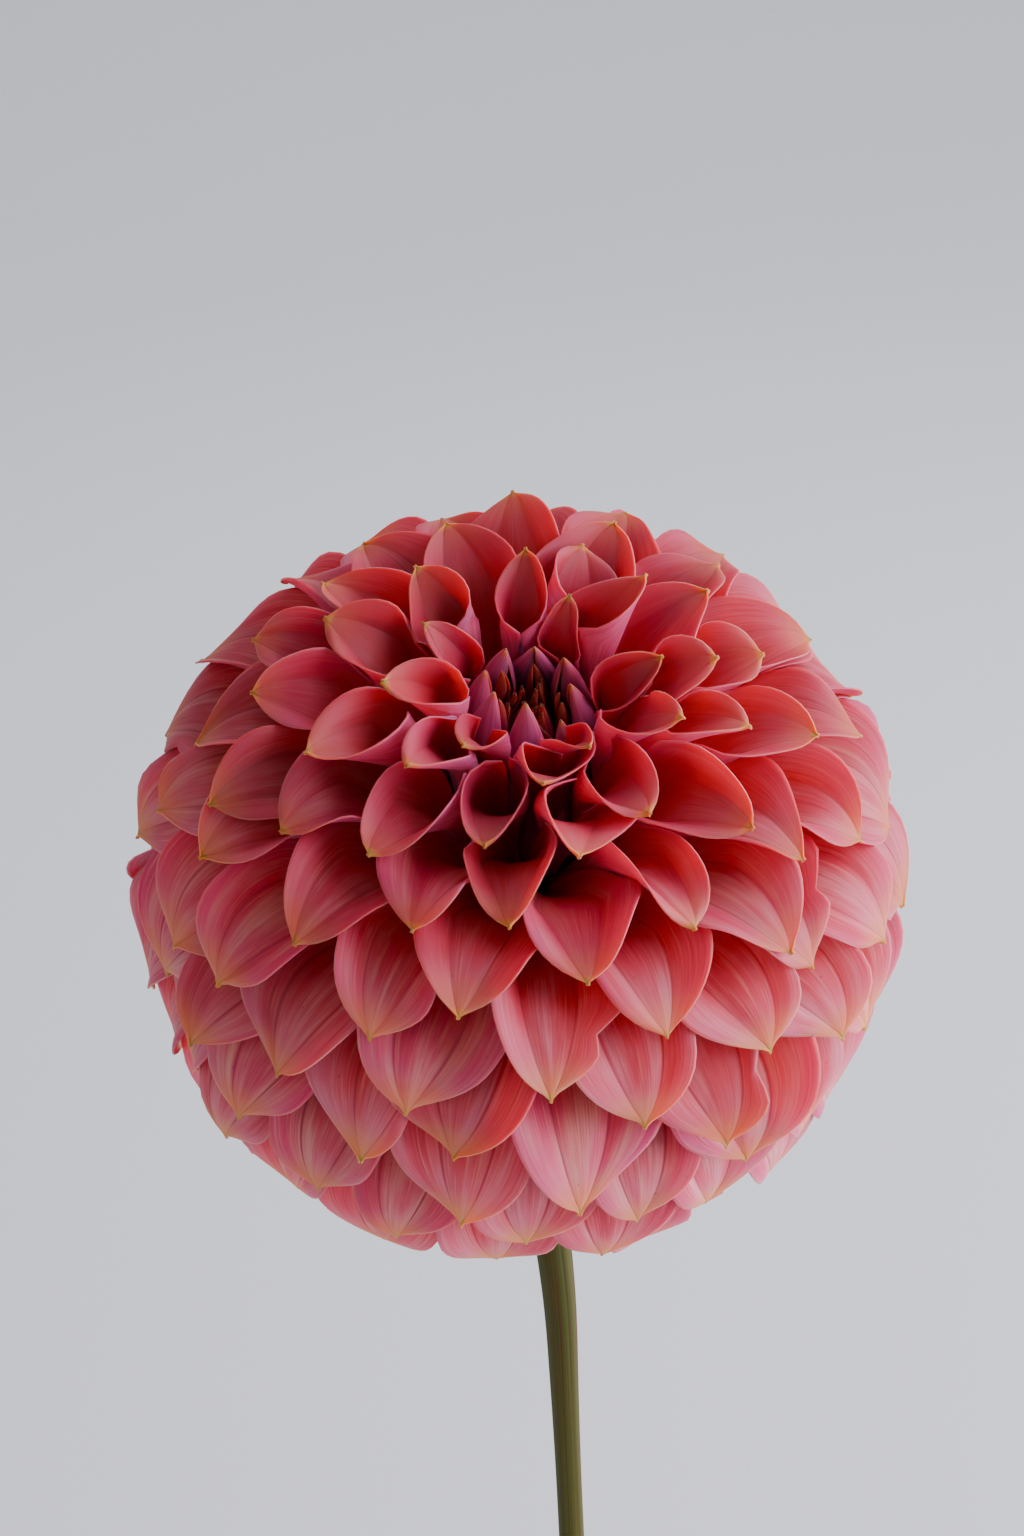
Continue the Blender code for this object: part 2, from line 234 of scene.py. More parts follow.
class Outline(Enum):
    """How a blade's width runs from its foot to its tip."""

    RAY = Profile(
        foot_width=(0.30, 0.15),
        claw_end=(0.30, 0.16),
        shoulder=(0.55, 0.50),
        lip_start=(0.76, 0.54),
        power=(3.0, 2.2),
        roundness=0.92,
        lip_end=0.985,
        beak_width=0.07,
    )
    BUD = Profile(
        foot_width=(0.40, 0.40),
        claw_end=(0.0, 0.0),
        shoulder=(0.42, 0.42),
        lip_start=(0.45, 0.45),
        power=(2.8, 2.8),
        roundness=0.9,
    )
    BRACT = Profile(
        foot_width=(0.45, 0.45),
        claw_end=(0.0, 0.0),
        shoulder=(0.45, 0.45),
        lip_start=(0.45, 0.45),
        power=(2.2, 2.2),
        roundness=0.8,
    )

    def claw(self, along: np.ndarray, age: float) -> np.ndarray:
        """Widen the blade from its foot, where a ray floret is a narrow claw.

        Args:
            along: The share of the length at each point.
            age: The floret's age, from 0 to 1.

        Returns:
            The share of the full width that it has widened to.
        """
        profile = self.value
        widened = rise(along, mix(*profile.claw_end, age), mix(*profile.shoulder, age))
        return mix(mix(*profile.foot_width, age), 1.0, widened)

    def lip(self, along: np.ndarray, age: float) -> np.ndarray:
        """Close the blade in to its tip.

        A young ray floret ends like a tube that is cut at a slant, so that its mouth is round.
        An older one is pointed, and each ends in a small beak.

        Args:
            along: The share of the length at each point.
            age: The floret's age, from 0 to 1.

        Returns:
            The share of the full width that is left.
        """
        profile = self.value
        start = mix(*profile.lip_start, age)
        tip = np.clip((along - start) / (profile.lip_end - start), 0, 1)
        pointed = (1 - tip ** mix(*profile.power, age)) ** profile.roundness
        if self is not Outline.RAY:
            return pointed
        cut_tube = np.arccos(2 * tip - 1) / math.pi
        beak = profile.beak_width * np.clip((1 - along) / profile.beak_length, 0, 1)
        return np.maximum(mix(cut_tube, pointed, rise(age, *POINTED_FROM)), beak)


POINTED_FROM = (2 / 13, 10 / 13)
"""The age at which a ray floret's mouth starts to draw out to a point, and over what span."""

GROOVE_PLACE = 0.34
"""Where the two lengthwise grooves run, as a share of the half width."""

LUCK_LIMIT = 1.4
"""How far a chance value may lie from its mean, in standard deviations."""


def chances(luck: np.random.Generator, count: int, limit: float = LUCK_LIMIT) -> np.ndarray:
    """Draw this many chance values round 0, none of them past the limit."""
    return np.clip(luck.normal(0, 1, count), -limit, limit)


@dataclass(frozen=True)
class Blade:
    """One cupped blade of tissue, in the half plane beside the head's axis.

    The midrib is a cubic curve of four points, as (outwards, along the axis). The cup is the half
    angle that a cross-section bends through, near the foot, in the middle and at the tip. The
    twist, sway, lift, skew and ripple are what a chance value of 1 gives. A run is the share of
    the length, or for the nick of the half width, where something starts and over which it grows.
    """

    midrib: tuple[np.ndarray, np.ndarray, np.ndarray, np.ndarray]
    half_width: float
    cup: tuple[float, float, float]
    outline: Outline
    age: float
    seed: int
    thickness: float = 0.45 * MM
    margin_thinning: float = 0.28
    unruly: float = 1.0
    cup_run: tuple[float, float] = (0.25, 0.38)
    tip_run: tuple[float, float] = (0.62, 0.38)
    twist: float = math.radians(17)
    twist_run: tuple[float, float] = (0.3, 0.7)
    sway: float = 2.0 * MM
    lift: float = 0.8 * MM
    skew: float = 0.16
    ripple: float = 0.5 * MM
    ripple_rate: float = 17
    ripple_run: tuple[float, float] = (0.45, 0.3)
    puff: float = 0.45 * MM
    puff_run: tuple[float, float] = (0.35, 0.3)
    outer_puff: float = 0.7
    crease: float = 0.0
    crease_run: tuple[float, float] = (0.4, 0.3)
    crease_width: float = 0.12
    pinch: float = 1.0
    nick: float = 0.0
    nick_place: float = 0.82
    nick_length: float = 0.045
    nick_run: tuple[float, float] = (0.2, 0.5)
    least_width: float = 0.012
    rows: int = 27
    crowding: float = 1.45

    def lines(self) -> np.ndarray:
        """Return where the lines along the blade run, closer at the grooves and the margins."""
        half = np.array((0.12, 0.23, 0.30, GROOVE_PLACE, 0.38, 0.46, 0.57, 0.70, 0.83, 0.94, 1.0))
        return np.concatenate((-half[::-1], (0.0,), half))

    def stations(self) -> np.ndarray:
        """Return the shares of the length with a row of points, closer towards the tip."""
        return 1 - (1 - np.linspace(0, 1, self.rows)) ** self.crowding

    def spine(self, along: np.ndarray, twist: float) -> tuple[np.ndarray, np.ndarray, np.ndarray]:
        """Follow the midrib.

        Args:
            along: The share of the length at each point.
            twist: How far the blade has twisted at its tip, as an angle.

        Returns:
            The midrib's place and its directions inwards and sideways, as xyz arrays.
        """
        point, slope = cubic(*(corner[:, None, None] for corner in self.midrib), along)
        slope = slope / np.linalg.norm(slope, axis=0)
        still = np.zeros_like(along)
        centre = np.stack((point[0], still, point[1]), axis=-1)
        inward = np.stack((-slope[1], still, slope[0]), axis=-1)
        beside = np.stack((still, still + 1, still), axis=-1)
        turn = (twist * rise(along, *self.twist_run))[..., None]
        return (
            centre,
            inward * np.cos(turn) - beside * np.sin(turn),
            beside * np.cos(turn) + inward * np.sin(turn),
        )

    def section(
        self, across: np.ndarray, along: np.ndarray, skew: float
    ) -> tuple[np.ndarray, np.ndarray]:
        """Cup the cross-sections, fold them at the grooves and draw them in to the outline.

        Args:
            across: The place across the blade at each point, from -1 to 1.
            along: The share of the length at each point.
            skew: How much more one side is cupped than the middle.

        Returns:
            The angle that the surface has bent through, and the half width, at each point.
        """
        foot_cup, middle_cup, tip_cup = self.cup
        cup = mix(foot_cup, middle_cup, rise(along, *self.cup_run))
        cup = mix(cup, tip_cup, rise(along, *self.tip_run))
        lip = self.outline.lip(along, self.age)
        width = self.half_width * np.maximum(
            self.outline.claw(along, self.age) * lip, self.least_width
        )
        nick = np.exp(-(((along - self.nick_place) / self.nick_length) ** 2))
        width = width * (1 - self.nick * (nick * rise(across, *self.nick_run)))
        cup = cup * lip ** (1 - self.pinch)
        side = np.sign(across)
        folded = side * smooth_step((np.abs(across) - GROOVE_PLACE) / self.crease_width + 0.5)
        crease = self.crease * rise(along, *self.crease_run)
        return cup * mix(across, folded, crease) * (1 + skew * side), width

    def relief(self, across: np.ndarray, along: np.ndarray, phases: np.ndarray) -> np.ndarray:
        """Swell the blade between its grooves, and ripple its margins.

        Args:
            across: The place across the blade at each point, from -1 to 1.
            along: The share of the length at each point.
            phases: Where the ripple starts, and how far one margin's is from the other's.

        Returns:
            How far each point stands off the plain surface.
        """
        reach = np.abs(across)
        ripple = np.sin(along * self.ripple_rate + phases[0] + np.sign(across) * phases[1])
        ripple = ripple * reach**4 * self.ripple * self.unruly * rise(along, *self.ripple_run)
        inner_lobe = 1 - (reach / GROOVE_PLACE) ** 2
        outer_lobe = 1 - ((2 * reach - 1 - GROOVE_PLACE) / (1 - GROOVE_PLACE)) ** 2
        lobes = np.where(reach < GROOVE_PLACE, inner_lobe, outer_lobe * self.outer_puff)
        return ripple + lobes * self.puff * rise(along, *self.puff_run) * (1 - along**8)

    def points(self) -> np.ndarray:
        """Bend the blade's middle surface.

        Returns:
            Its points, as a (row, line, xyz) array.
        """
        luck = np.random.default_rng(self.seed)
        twist, sway, skew, lift = chances(luck, 4) * self.unruly
        phases = luck.uniform(0, 2 * math.pi, 2)
        across, along = np.meshgrid(self.lines(), self.stations())
        centre, inward, beside = self.spine(along, self.twist * twist)
        centre = centre + beside * (self.sway * sway * along**2)[..., None]
        centre = centre + inward * (self.lift * lift * along**2)[..., None]
        angle, width = self.section(across, along, self.skew * skew)
        middle = (angle[:, 1:] + angle[:, :-1]) / 2
        step = np.diff(across, axis=1) * width[:, 1:]
        midline = across.shape[1] // 2
        points = centre
        for way, share in ((beside, np.cos(middle)), (inward, np.sin(middle))):
            walked = np.pad(np.cumsum(share * step, axis=1), ((0, 0), (1, 0)))
            points = points + way * (walked - walked[:, midline : midline + 1])[..., None]
        facing = inward * np.cos(angle)[..., None] - beside * np.sin(angle)[..., None]
        return points + facing * self.relief(across, along, phases)[..., None]

    def mesh(self, name: str, points: np.ndarray) -> bpy.types.Mesh:
        """Build the blade as one closed shell, thin at its margins.

        Args:
            name: The mesh's name.
            points: The middle surface, as a (row, line, xyz) array.

        Returns:
            A mesh with the point attributes blade, which is (across, along, outer face), and
            nature, which is (age, two chance values).
        """
        facing = np.cross(np.gradient(points, axis=1), np.gradient(points, axis=0))
        facing = -facing / np.maximum(np.linalg.norm(facing, axis=-1, keepdims=True), 1e-12)
        across, along = np.meshgrid(self.lines(), self.stations())
        half = (self.thickness * (0.5 - self.margin_thinning * across**2))[..., None]
        rows, lines = across.shape
        corners = np.concatenate((points + facing * half, points - facing * half)).reshape(-1, 3)
        top = np.arange(rows * lines).reshape(rows, lines)
        low = top + rows * lines
        first, last = slice(None, -1), slice(1, None)
        faces = [
            (top[first, first], top[last, first], top[last, last], top[first, last]),
            (low[first, first], low[first, last], low[last, last], low[last, first]),
            (top[last, 0], top[first, 0], low[first, 0], low[last, 0]),
            (top[first, -1], top[last, -1], low[last, -1], low[first, -1]),
            (top[0, first], top[0, last], low[0, last], low[0, first]),
            (top[-1, last], top[-1, first], low[-1, first], low[-1, last]),
        ]
        quads = np.concatenate([np.stack([part.ravel() for part in four], axis=1) for four in faces])
        made = bpy.data.meshes.new(name)
        made.from_pydata(corners.tolist(), [], quads.tolist())
        made.shade_smooth()
        luck = np.random.default_rng(self.seed + NATURE_SEED).uniform(0, 1, 2)
        outer = np.repeat((0.0, 1.0), rows * lines)
        place = np.stack((np.tile(across.ravel(), 2), np.tile(along.ravel(), 2), outer), axis=1)
        nature = np.tile((self.age, *luck), (2 * rows * lines, 1))
        for label, values in (("blade", place), ("nature", nature)):
            attribute = made.attributes.new(label, "FLOAT_VECTOR", "POINT")
            attribute.data.foreach_set("vector", values.ravel())
        return made


@dataclass
class Layers:
    """The room that the florets have taken so far, as seen from the ball's centre.

    Tissue that stands up is kept as a floor: for each azimuth and distance, the greatest angle
    from the head's axis that it reaches. Tissue that lies over is kept as a roof: for each azimuth
    and angle, its least distance. The next floret is pressed outwards below the floor and inwards
    under the roof, as growing florets press on each other, so they overlap and few of them cross.

    The floor starts at the nearest shell and is counted in shells. Tissue stands up where it gains
    more distance than the share standing of its length. The gap is what a margin keeps, and the
    middle of a floret keeps more, by the crown.
    """

    azimuths: int = 360
    nearest: float = 11 * MM
    shell: float = 1 * MM
    shells: int = 56
    rays: int = 180
    gap: float = 0.55 * MM
    crown: float = 1.8
    refinement: int = 5
    passes: int = 14
    rounds: int = 3
    standing: float = 0.55
    roof_from: float = 42 * MM

    def __post_init__(self) -> None:
        """Start with nothing round the axis."""
        self.floor = np.zeros((self.azimuths, self.shells))
        self.roof = np.full((self.azimuths, self.rays), 1.0)

    def columns(self, azimuth: np.ndarray) -> np.ndarray:
        """Return the columns that these azimuths fall in."""
        return np.round(azimuth / (2 * math.pi) * self.azimuths).astype(int) % self.azimuths

    def shells_at(self, distance: np.ndarray) -> np.ndarray:
        """Return the shells that these distances fall in."""
        row = np.round((distance - self.nearest) / self.shell).astype(int)
        return np.clip(row, 0, self.shells - 1)

    def rays_at(self, angle: np.ndarray) -> np.ndarray:
        """Return the rays that these angles from the axis fall in."""
        return np.clip(np.round(angle / math.pi * self.rays).astype(int), 0, self.rays - 1)

    def around(self, push: np.ndarray) -> np.ndarray:
        """Add up each value's four neighbours; past the border, the value itself stands in."""
        held = np.pad(push, 1, mode="edge")
        return held[:-2, 1:-1] + held[2:, 1:-1] + held[1:-1, :-2] + held[1:-1, 2:]

    def spread(self, needed: np.ndarray) -> np.ndarray:
        """Carry a push over to the tissue round it, so that the blade bends and doesn't kink.

        Args:
            needed: The push that each point of the surface needs.

        Returns:
            The push that each point gets.
        """
        push = needed
        for _ in range(self.passes):
            push = np.maximum(needed, self.around(push) / 4)
        return (self.around(push) + push * 2) / 6

    def settle(self, points: np.ndarray, azimuth: float) -> np.ndarray:
        """Press a floret below those before it, and take up its room.

        Args:
            points: The floret's middle surface at azimuth 0, as a (row, line, xyz) array.
            azimuth: Where the floret stands.

        Returns:
            The same surface, pressed where it has to give way.
        """
        distance = np.linalg.norm(points, axis=-1)
        angle = np.arccos(np.clip(points[..., 2] / distance, -1, 1))
        turn = np.arctan2(points[..., 1], points[..., 0])
        column = self.columns(turn + azimuth)
        clear = self.gap * (self.crown - np.abs(np.linspace(-1, 1, points.shape[1])))
        for _ in range(self.rounds):
            below = self.floor[column, self.shells_at(distance)] + clear / distance
            angle = angle + self.spread(np.maximum(below - angle, 0))
            under = self.roof[column, self.rays_at(angle)] - clear
            distance = distance - self.spread(np.maximum(distance - under, 0))
        out = distance * np.sin(angle)
        settled = np.stack((out * np.cos(turn), out * np.sin(turn), distance * np.cos(angle)), -1)
        self.take(settled, azimuth)
        return settled

    def take(self, points: np.ndarray, azimuth: float) -> None:
        """Take up the room of a floret's surface.

        Args:
            points: The surface at azimuth 0, as a (row, line, xyz) array.
            azimuth: Where the floret stands.
        """
        fine = points
        for axis in (0, 1):
            count = fine.shape[axis]
            place = np.linspace(0, count - 1, (count - 1) * self.refinement + 1)
            low = np.minimum(place.astype(int), count - 2)
            share = np.expand_dims(place - low, tuple(n for n in range(3) if n != axis))
            fine = mix(np.take(fine, low, axis), np.take(fine, low + 1, axis), share)
        distance = np.linalg.norm(fine, axis=-1)
        angle = np.arccos(np.clip(fine[..., 2] / distance, -1, 1))
        column = self.columns(np.arctan2(fine[..., 1], fine[..., 0]) + azimuth)
        length = np.linalg.norm(np.gradient(fine, axis=0), axis=-1)
        stands = np.gradient(distance, axis=0) > self.standing * length
        lies = ~stands & (distance > self.roof_from)
        np.maximum.at(self.floor, (column[stands], self.shells_at(distance[stands])), angle[stands])
        np.minimum.at(self.roof, (column[lies], self.rays_at(angle[lies])), distance[lies])


class Whorl:
    """Geometry nodes that set blades out round the head's axis, each one turned from the last."""

    def __init__(self, centre: Vector) -> None:
        """Build the node tree.

        Args:
            centre: The centre of the ball that the head is.
        """
        self.centre = centre
        side = (Vector((1, 0, 0)) - HEAD_AXIS * HEAD_AXIS.x).normalized()
        columns = (side, HEAD_AXIS.cross(side), HEAD_AXIS)
        self.turn = Matrix(columns).transposed().to_euler()
        self.sockets: dict[str, str] = {}
        self.tree = self.build_tree()

    def build_tree(self) -> bpy.types.NodeTree:
        """Build the tree: one point for each blade, turned, made real and given its finish.

        Returns:
            The tree.
        """
        tree = bpy.data.node_groups.new("whorl", "GeometryNodeTree")
        kinds = {
            "Blades": "NodeSocketCollection",
            "First Blade": "NodeSocketInt",
            "First Azimuth": "NodeSocketFloat",
            "Turn Each": "NodeSocketFloat",
            "Head Centre": "NodeSocketVector",
            "Head Turn": "NodeSocketRotation",
            "Finish": "NodeSocketMaterial",
        }
        for label, kind in kinds.items():
            item = tree.interface.new_socket(name=label, in_out="INPUT", socket_type=kind)
            self.sockets[label] = item.identifier
        tree.interface.new_socket(name="Geometry", in_out="OUTPUT", socket_type="NodeSocketGeometry")
        given = add_node(tree, "NodeGroupInput").outputs
        blades = add_node(
            tree,
            "GeometryNodeCollectionInfo",
            inputs={"Collection": given["Blades"], "Separate Children": True, "Reset Children": True},
        )
        count = add_node(
            tree,
            "GeometryNodeAttributeDomainSize",
            {"component": "INSTANCES"},
            {"Geometry": blades.outputs[0]},
        )
        points = add_node(tree, "GeometryNodePoints", inputs={"Count": count.outputs["Instance Count"]})
        index = add_node(tree, "GeometryNodeInputIndex")
        number = add_node(
            tree, "ShaderNodeMath", {"operation": "ADD"}, {0: index.outputs[0], 1: given["First Blade"]}
        )
        turned = add_node(
            tree,
            "ShaderNodeMath",
            {"operation": "MULTIPLY_ADD"},
            {0: number.outputs[0], 1: given["Turn Each"], 2: given["First Azimuth"]},
        )
        spin = add_node(
            tree,
            "FunctionNodeAxisAngleToRotation",
            inputs={"Axis": (0, 0, 1), "Angle": turned.outputs[0]},
        )
        placed = add_node(
            tree,
            "GeometryNodeInstanceOnPoints",
            inputs={
                "Points": points.outputs[0],
                "Instance": blades.outputs[0],
                "Pick Instance": True,
                "Instance Index": index.outputs[0],
                "Rotation": spin.outputs[0],
            },
        )
        real = add_node(tree, "GeometryNodeRealizeInstances", inputs={0: placed.outputs[0]})
        head = add_node(
            tree,
            "GeometryNodeTransform",
            inputs={
                "Geometry": real.outputs[0],
                "Translation": given["Head Centre"],
                "Rotation": given["Head Turn"],
            },
        )
        dressed = add_node(
            tree,
            "GeometryNodeSetMaterial",
            inputs={"Geometry": head.outputs[0], "Material": given["Finish"]},
        )
        add_node(tree, "NodeGroupOutput", inputs={0: dressed.outputs[0]})
        return tree

    def lay_out(
        self,
        name: str,
        blades: Sequence[bpy.types.Mesh],
        finish: bpy.types.Material,
        turn_each: float,
        first_azimuth: float = 0.0,
        first_blade: int = 0,
    ) -> bpy.types.Object:
        """Set blades out round the axis and turn them into one plain mesh.

        Args:
            name: The piece's name.
            blades: The blades' meshes at azimuth 0, in order.
            finish: Their material.
            turn_each: The turn from one blade to the next, in radians.
            first_azimuth: Where the blade with number 0 stands.
            first_blade: The number of the first of these blades.

        Returns:
            The piece, at the origin, with its place in its mesh.
        """
        loose = bpy.data.collections.new(name)
        for number, blade in enumerate(blades):
            loose.objects.link(bpy.data.objects.new(f"{name}_{number:02d}", blade))
        piece = add_piece(name, bpy.data.meshes.new(name), finish)
        modifier = piece.modifiers.new("whorl", "NODES")
        modifier.node_group = self.tree
        values = {
            "Blades": loose,
            "First Blade": first_blade,
            "First Azimuth": first_azimuth,
            "Turn Each": turn_each,
            "Head Centre": self.centre,
            "Head Turn": self.turn,
            "Finish": finish,
        }
        for label, value in values.items():
            modifier[self.sockets[label]] = value
        graph = bpy.context.evaluated_depsgraph_get()
        baked = bpy.data.meshes.new_from_object(piece.evaluated_get(graph))
        piece.modifiers.remove(modifier)
        piece.data = baked
        for blade in list(loose.objects):
            bpy.data.meshes.remove(blade.data)
        bpy.data.collections.remove(loose)
        return piece


def add_piece(name: str, mesh: bpy.types.Mesh, finish: bpy.types.Material) -> bpy.types.Object:
    """Link a mesh to the scene as a piece.

    Args:
        name: The piece's name.
        mesh: Its mesh.
        finish: Its only material.

    Returns:
        The piece, at the origin.
    """
    mesh.materials.clear()
    mesh.materials.append(finish)
    piece = bpy.data.objects.new(name, mesh)
    bpy.context.scene.collection.objects.link(piece)
    return piece


def smooth_mesh(name: str, shell: bmesh.types.BMesh) -> bpy.types.Mesh:
    """Make a smooth mesh that faces outwards and keeps its hard edges.

    Args:
        name: The mesh's name.
        shell: Its shape, which is freed.

    Returns:
        The mesh.
    """
    bmesh.ops.recalc_face_normals(shell, faces=shell.faces[:])
    mesh = bpy.data.meshes.new(name)
    shell.to_mesh(mesh)
    shell.free()
    mesh.shade_smooth()
    mesh.set_sharp_from_angle(angle=SHARP_ANGLE)
    return mesh


def turned_mesh(name: str, section: Sequence[tuple[float, float]], sides: int) -> bpy.types.Mesh:
    """Turn a section round the upright axis, ring by ring, so that its faces keep their order.

    Args:
        name: The mesh's name.
        section: Its (radius, height) points in order.
        sides: How many flats go round.

    Returns:
        A smooth mesh, closed where the section starts or ends on the axis.
    """
    shell = bmesh.new()
    turns = [2 * math.pi * side / sides for side in range(sides)]
    loops = [
        [
            shell.verts.new((radius * math.cos(turn), radius * math.sin(turn), height))
            for turn in (turns if radius else turns[:1])
        ]
        for radius, height in section
    ]
    for low, high in zip(loops, loops[1:]):
        for side in range(sides):
            after = (side + 1) % sides
            corners = (
                loop[place % len(loop)]
                for loop, place in ((low, side), (low, after), (high, after), (high, side))
            )
            shell.faces.new(tuple(dict.fromkeys(corners)))
    return smooth_mesh(name, shell)


def hand_over(piece: bpy.types.Object, slot: str, *nodes: str) -> None:
    """Ride a finished piece on the root body, in the place of these solids.

    Args:
        piece: The finished piece.
        slot: The record's material slot of these solids; not used.
        nodes: The solids that it stands for.
    """
    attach(piece, ROOT)
    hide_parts(*nodes)
    LOG.info("%s: %d faces for %s", piece.name, len(piece.data.polygons), ", ".join(nodes))


# Finishes.

MULTIPLY = {"operation": "MULTIPLY", "use_clamp": True}
MULTIPLY_ADD = {"operation": "MULTIPLY_ADD", "use_clamp": True}
SMOOTH = {"interpolation_type": "SMOOTHSTEP"}
COLOURS = {"data_type": "RGBA"}
"""Settings of the nodes that the finishes share."""


@dataclass(frozen=True)
class Coat:
    """A coat of colour that comes and goes smoothly over the ones before it.

    Its strength goes from the first share to the second as the measure goes through the span. The
    thinner, another measure between 0 and 1, scales it.
    """

    tint: str | bpy.types.NodeSocket
    measure: bpy.types.NodeSocket
    span: tuple[float, float]
    strength: tuple[float, float]
    thinner: bpy.types.NodeSocket | None = None

    def lay(self, tree: bpy.types.NodeTree, under: bpy.types.NodeSocket) -> bpy.types.NodeSocket:
        """Lay the coat.

        Args:
            tree: The material's tree.
            under: The colour that it covers.

        Returns:
            The colour with the coat on it.
        """
        terms = dict(enumerate((self.measure, *self.span, *self.strength)))
        share = add_node(tree, "ShaderNodeMapRange", SMOOTH, terms)
        if self.thinner is not None:
            thinned = {0: share.outputs[0], 1: self.thinner}
            share = add_node(tree, "ShaderNodeMath", MULTIPLY, thinned)
        sides = {0: share.outputs[0], 6: under, 7: self.tint}
        return add_node(tree, "ShaderNodeMix", COLOURS, sides).outputs[2]


@dataclass(frozen=True)
class PetalFinish:
    """Fresh petal: thin, satin tissue with the light glowing through it and fine lengthwise veins.

    The inner face is deep red in the cup and coral towards the tip, the back is mauve pink. Two
    rose lines run along the grooves. The margin is thin and pale, and the tip warms to yellow.
    Each grain is (how wide, how long) on a floret of the full size. Real fibres are finer than a
    tenth of a millimetre and wouldn't show, so they are drawn three times as wide.
    """

    name: str = "petal_tissue"
    young: tuple[str, ...] = ("#d00c1c", "#c01226", "#b01c34", "#a82c48")
    old: tuple[str, ...] = ("#d81c34", "#d8344a", "#dc4e64", "#e06884")
    back: str = "#bc2250"
    back_pale: str = "#de6490"
    rose: str = "#a80c34"
    # Pink towards the margins: partly the petal's own colour, partly painted sheen.
    pink_bloom_and_sheen: str = "#d8346c"
    pink: str = "#f294ae"
    cream: str = "#f0c09a"
    young_rim: str = "#ec7450"
    old_rim: str = "#f0c894"
    tip: str = "#e88a30"
    point: str = "#e09028"
    speck: str = "#6d2a22"
    sheen: str = "#e88090"
    rim_from: float = 0.96
    half_width: float = 13.8 * MM
    length: float = 40 * MM
    fibre: tuple[float, float] = (0.3 * MM, 8.9 * MM)
    vein: tuple[float, float] = (0.86 * MM, 20 * MM)
    patch: tuple[float, float] = (5.3 * MM, 15.4 * MM)
    speck_size: float = MM / 1.1
    glow: tuple[float, float, float] = (1.0, 0.2, 0.18)
    glow_depth: float = 2.0 * MM
    bump_depth: float = 0.12 * MM

    def grain(
        self, tree: bpy.types.NodeTree, place: bpy.types.NodeSocket
    ) -> list[bpy.types.NodeSocket]:
        """Draw the fibres, veins and patches, which differ from each floret to the next.

        Args:
            tree: The material's tree.
            place: The place on the blade, as (across, along, the floret's chance tone).

        Returns:
            The three patterns, each between 0 and 1.
        """
        drawn = []
        for (wide, long), apart, detail in ((self.fibre, 70, 3), (self.vein, 40, 4), (self.patch, 90, 3)):
            scaled = {0: place, 1: (self.half_width / wide, self.length / long, apart)}
            at = add_node(tree, "ShaderNodeVectorMath", {"operation": "MULTIPLY"}, scaled)
            noise = {0: at.outputs[0], "Scale": 1.0, "Detail": detail}
            drawn.append(add_node(tree, "ShaderNodeTexNoise", inputs=noise).outputs[0])
        return drawn

    def measures(
        self, tree: bpy.types.NodeTree
    ) -> tuple[list[bpy.types.NodeSocket], list[bpy.types.NodeSocket]]:
        """Read the two attributes.

        Args:
            tree: The material's tree.

        Returns:
            The place on the blade, as across, along and outer face, and the floret's nature, as
            age and two chance values.
        """
        read = []
        for name in ("blade", "nature"):
            attribute = add_node(tree, "ShaderNodeAttribute", {"attribute_name": name})
            parts = add_node(tree, "ShaderNodeSeparateXYZ", inputs={0: attribute.outputs["Vector"]})
            read.append(list(parts.outputs))
        return read[0], read[1]

    def material(self) -> bpy.types.Material:
        """Build the material from the blade and nature attributes.

        Returns:
            The finished material.
        """
        made, tree, shader = new_material(self.name)
        (across, along, outer), (age, tone, luck) = self.measures(tree)
        place = add_node(tree, "ShaderNodeCombineXYZ", inputs={0: across, 1: along, 2: tone})
        fibres, veins, patches = self.grain(tree, place.outputs[0])
        where = add_node(tree, "ShaderNodeTexCoord")
        dots = {0: where.outputs["Object"], "Scale": 1 / self.speck_size, "Detail": 1.0}
        specks = add_node(tree, "ShaderNodeTexNoise", inputs=dots).outputs[0]
        absolute = {"operation": "ABSOLUTE"}
        reach = add_node(tree, "ShaderNodeMath", absolute, {0: across}).outputs[0]
        past = add_node(
            tree, "ShaderNodeMath", {"operation": "SUBTRACT"}, {0: reach, 1: GROOVE_PLACE}
        )
        off_groove = add_node(tree, "ShaderNodeMath", absolute, {0: past.outputs[0]}).outputs[0]

        # What thins the coats below.
        lucky, aged_twice = (
            add_node(tree, "ShaderNodeMath", MULTIPLY, {0: age, 1: other}).outputs[0]
            for other in (luck, age)
        )
        streaks, tipward = (
            add_node(tree, "ShaderNodeMapRange", SMOOTH, dict(enumerate(terms))).outputs[0]
            for terms in ((veins, 0.40, 0.75, 0.45, 1.0), (along, 0.70, 0.99, 0.1, 1.0))
        )
        streaked = add_node(tree, "ShaderNodeMath", MULTIPLY, {0: streaks, 1: age}).outputs[0]
        bloom_and_sheen_share, grooved, warmed, bleach = (
            add_node(tree, "ShaderNodeMath", MULTIPLY_ADD, dict(enumerate(terms))).outputs[0]
            for terms in ((lucky, 0.6, 0.25), (age, 0.8, 0.15), (age, 0.85, 0.15), (tone, 0.7, -0.35))
        )

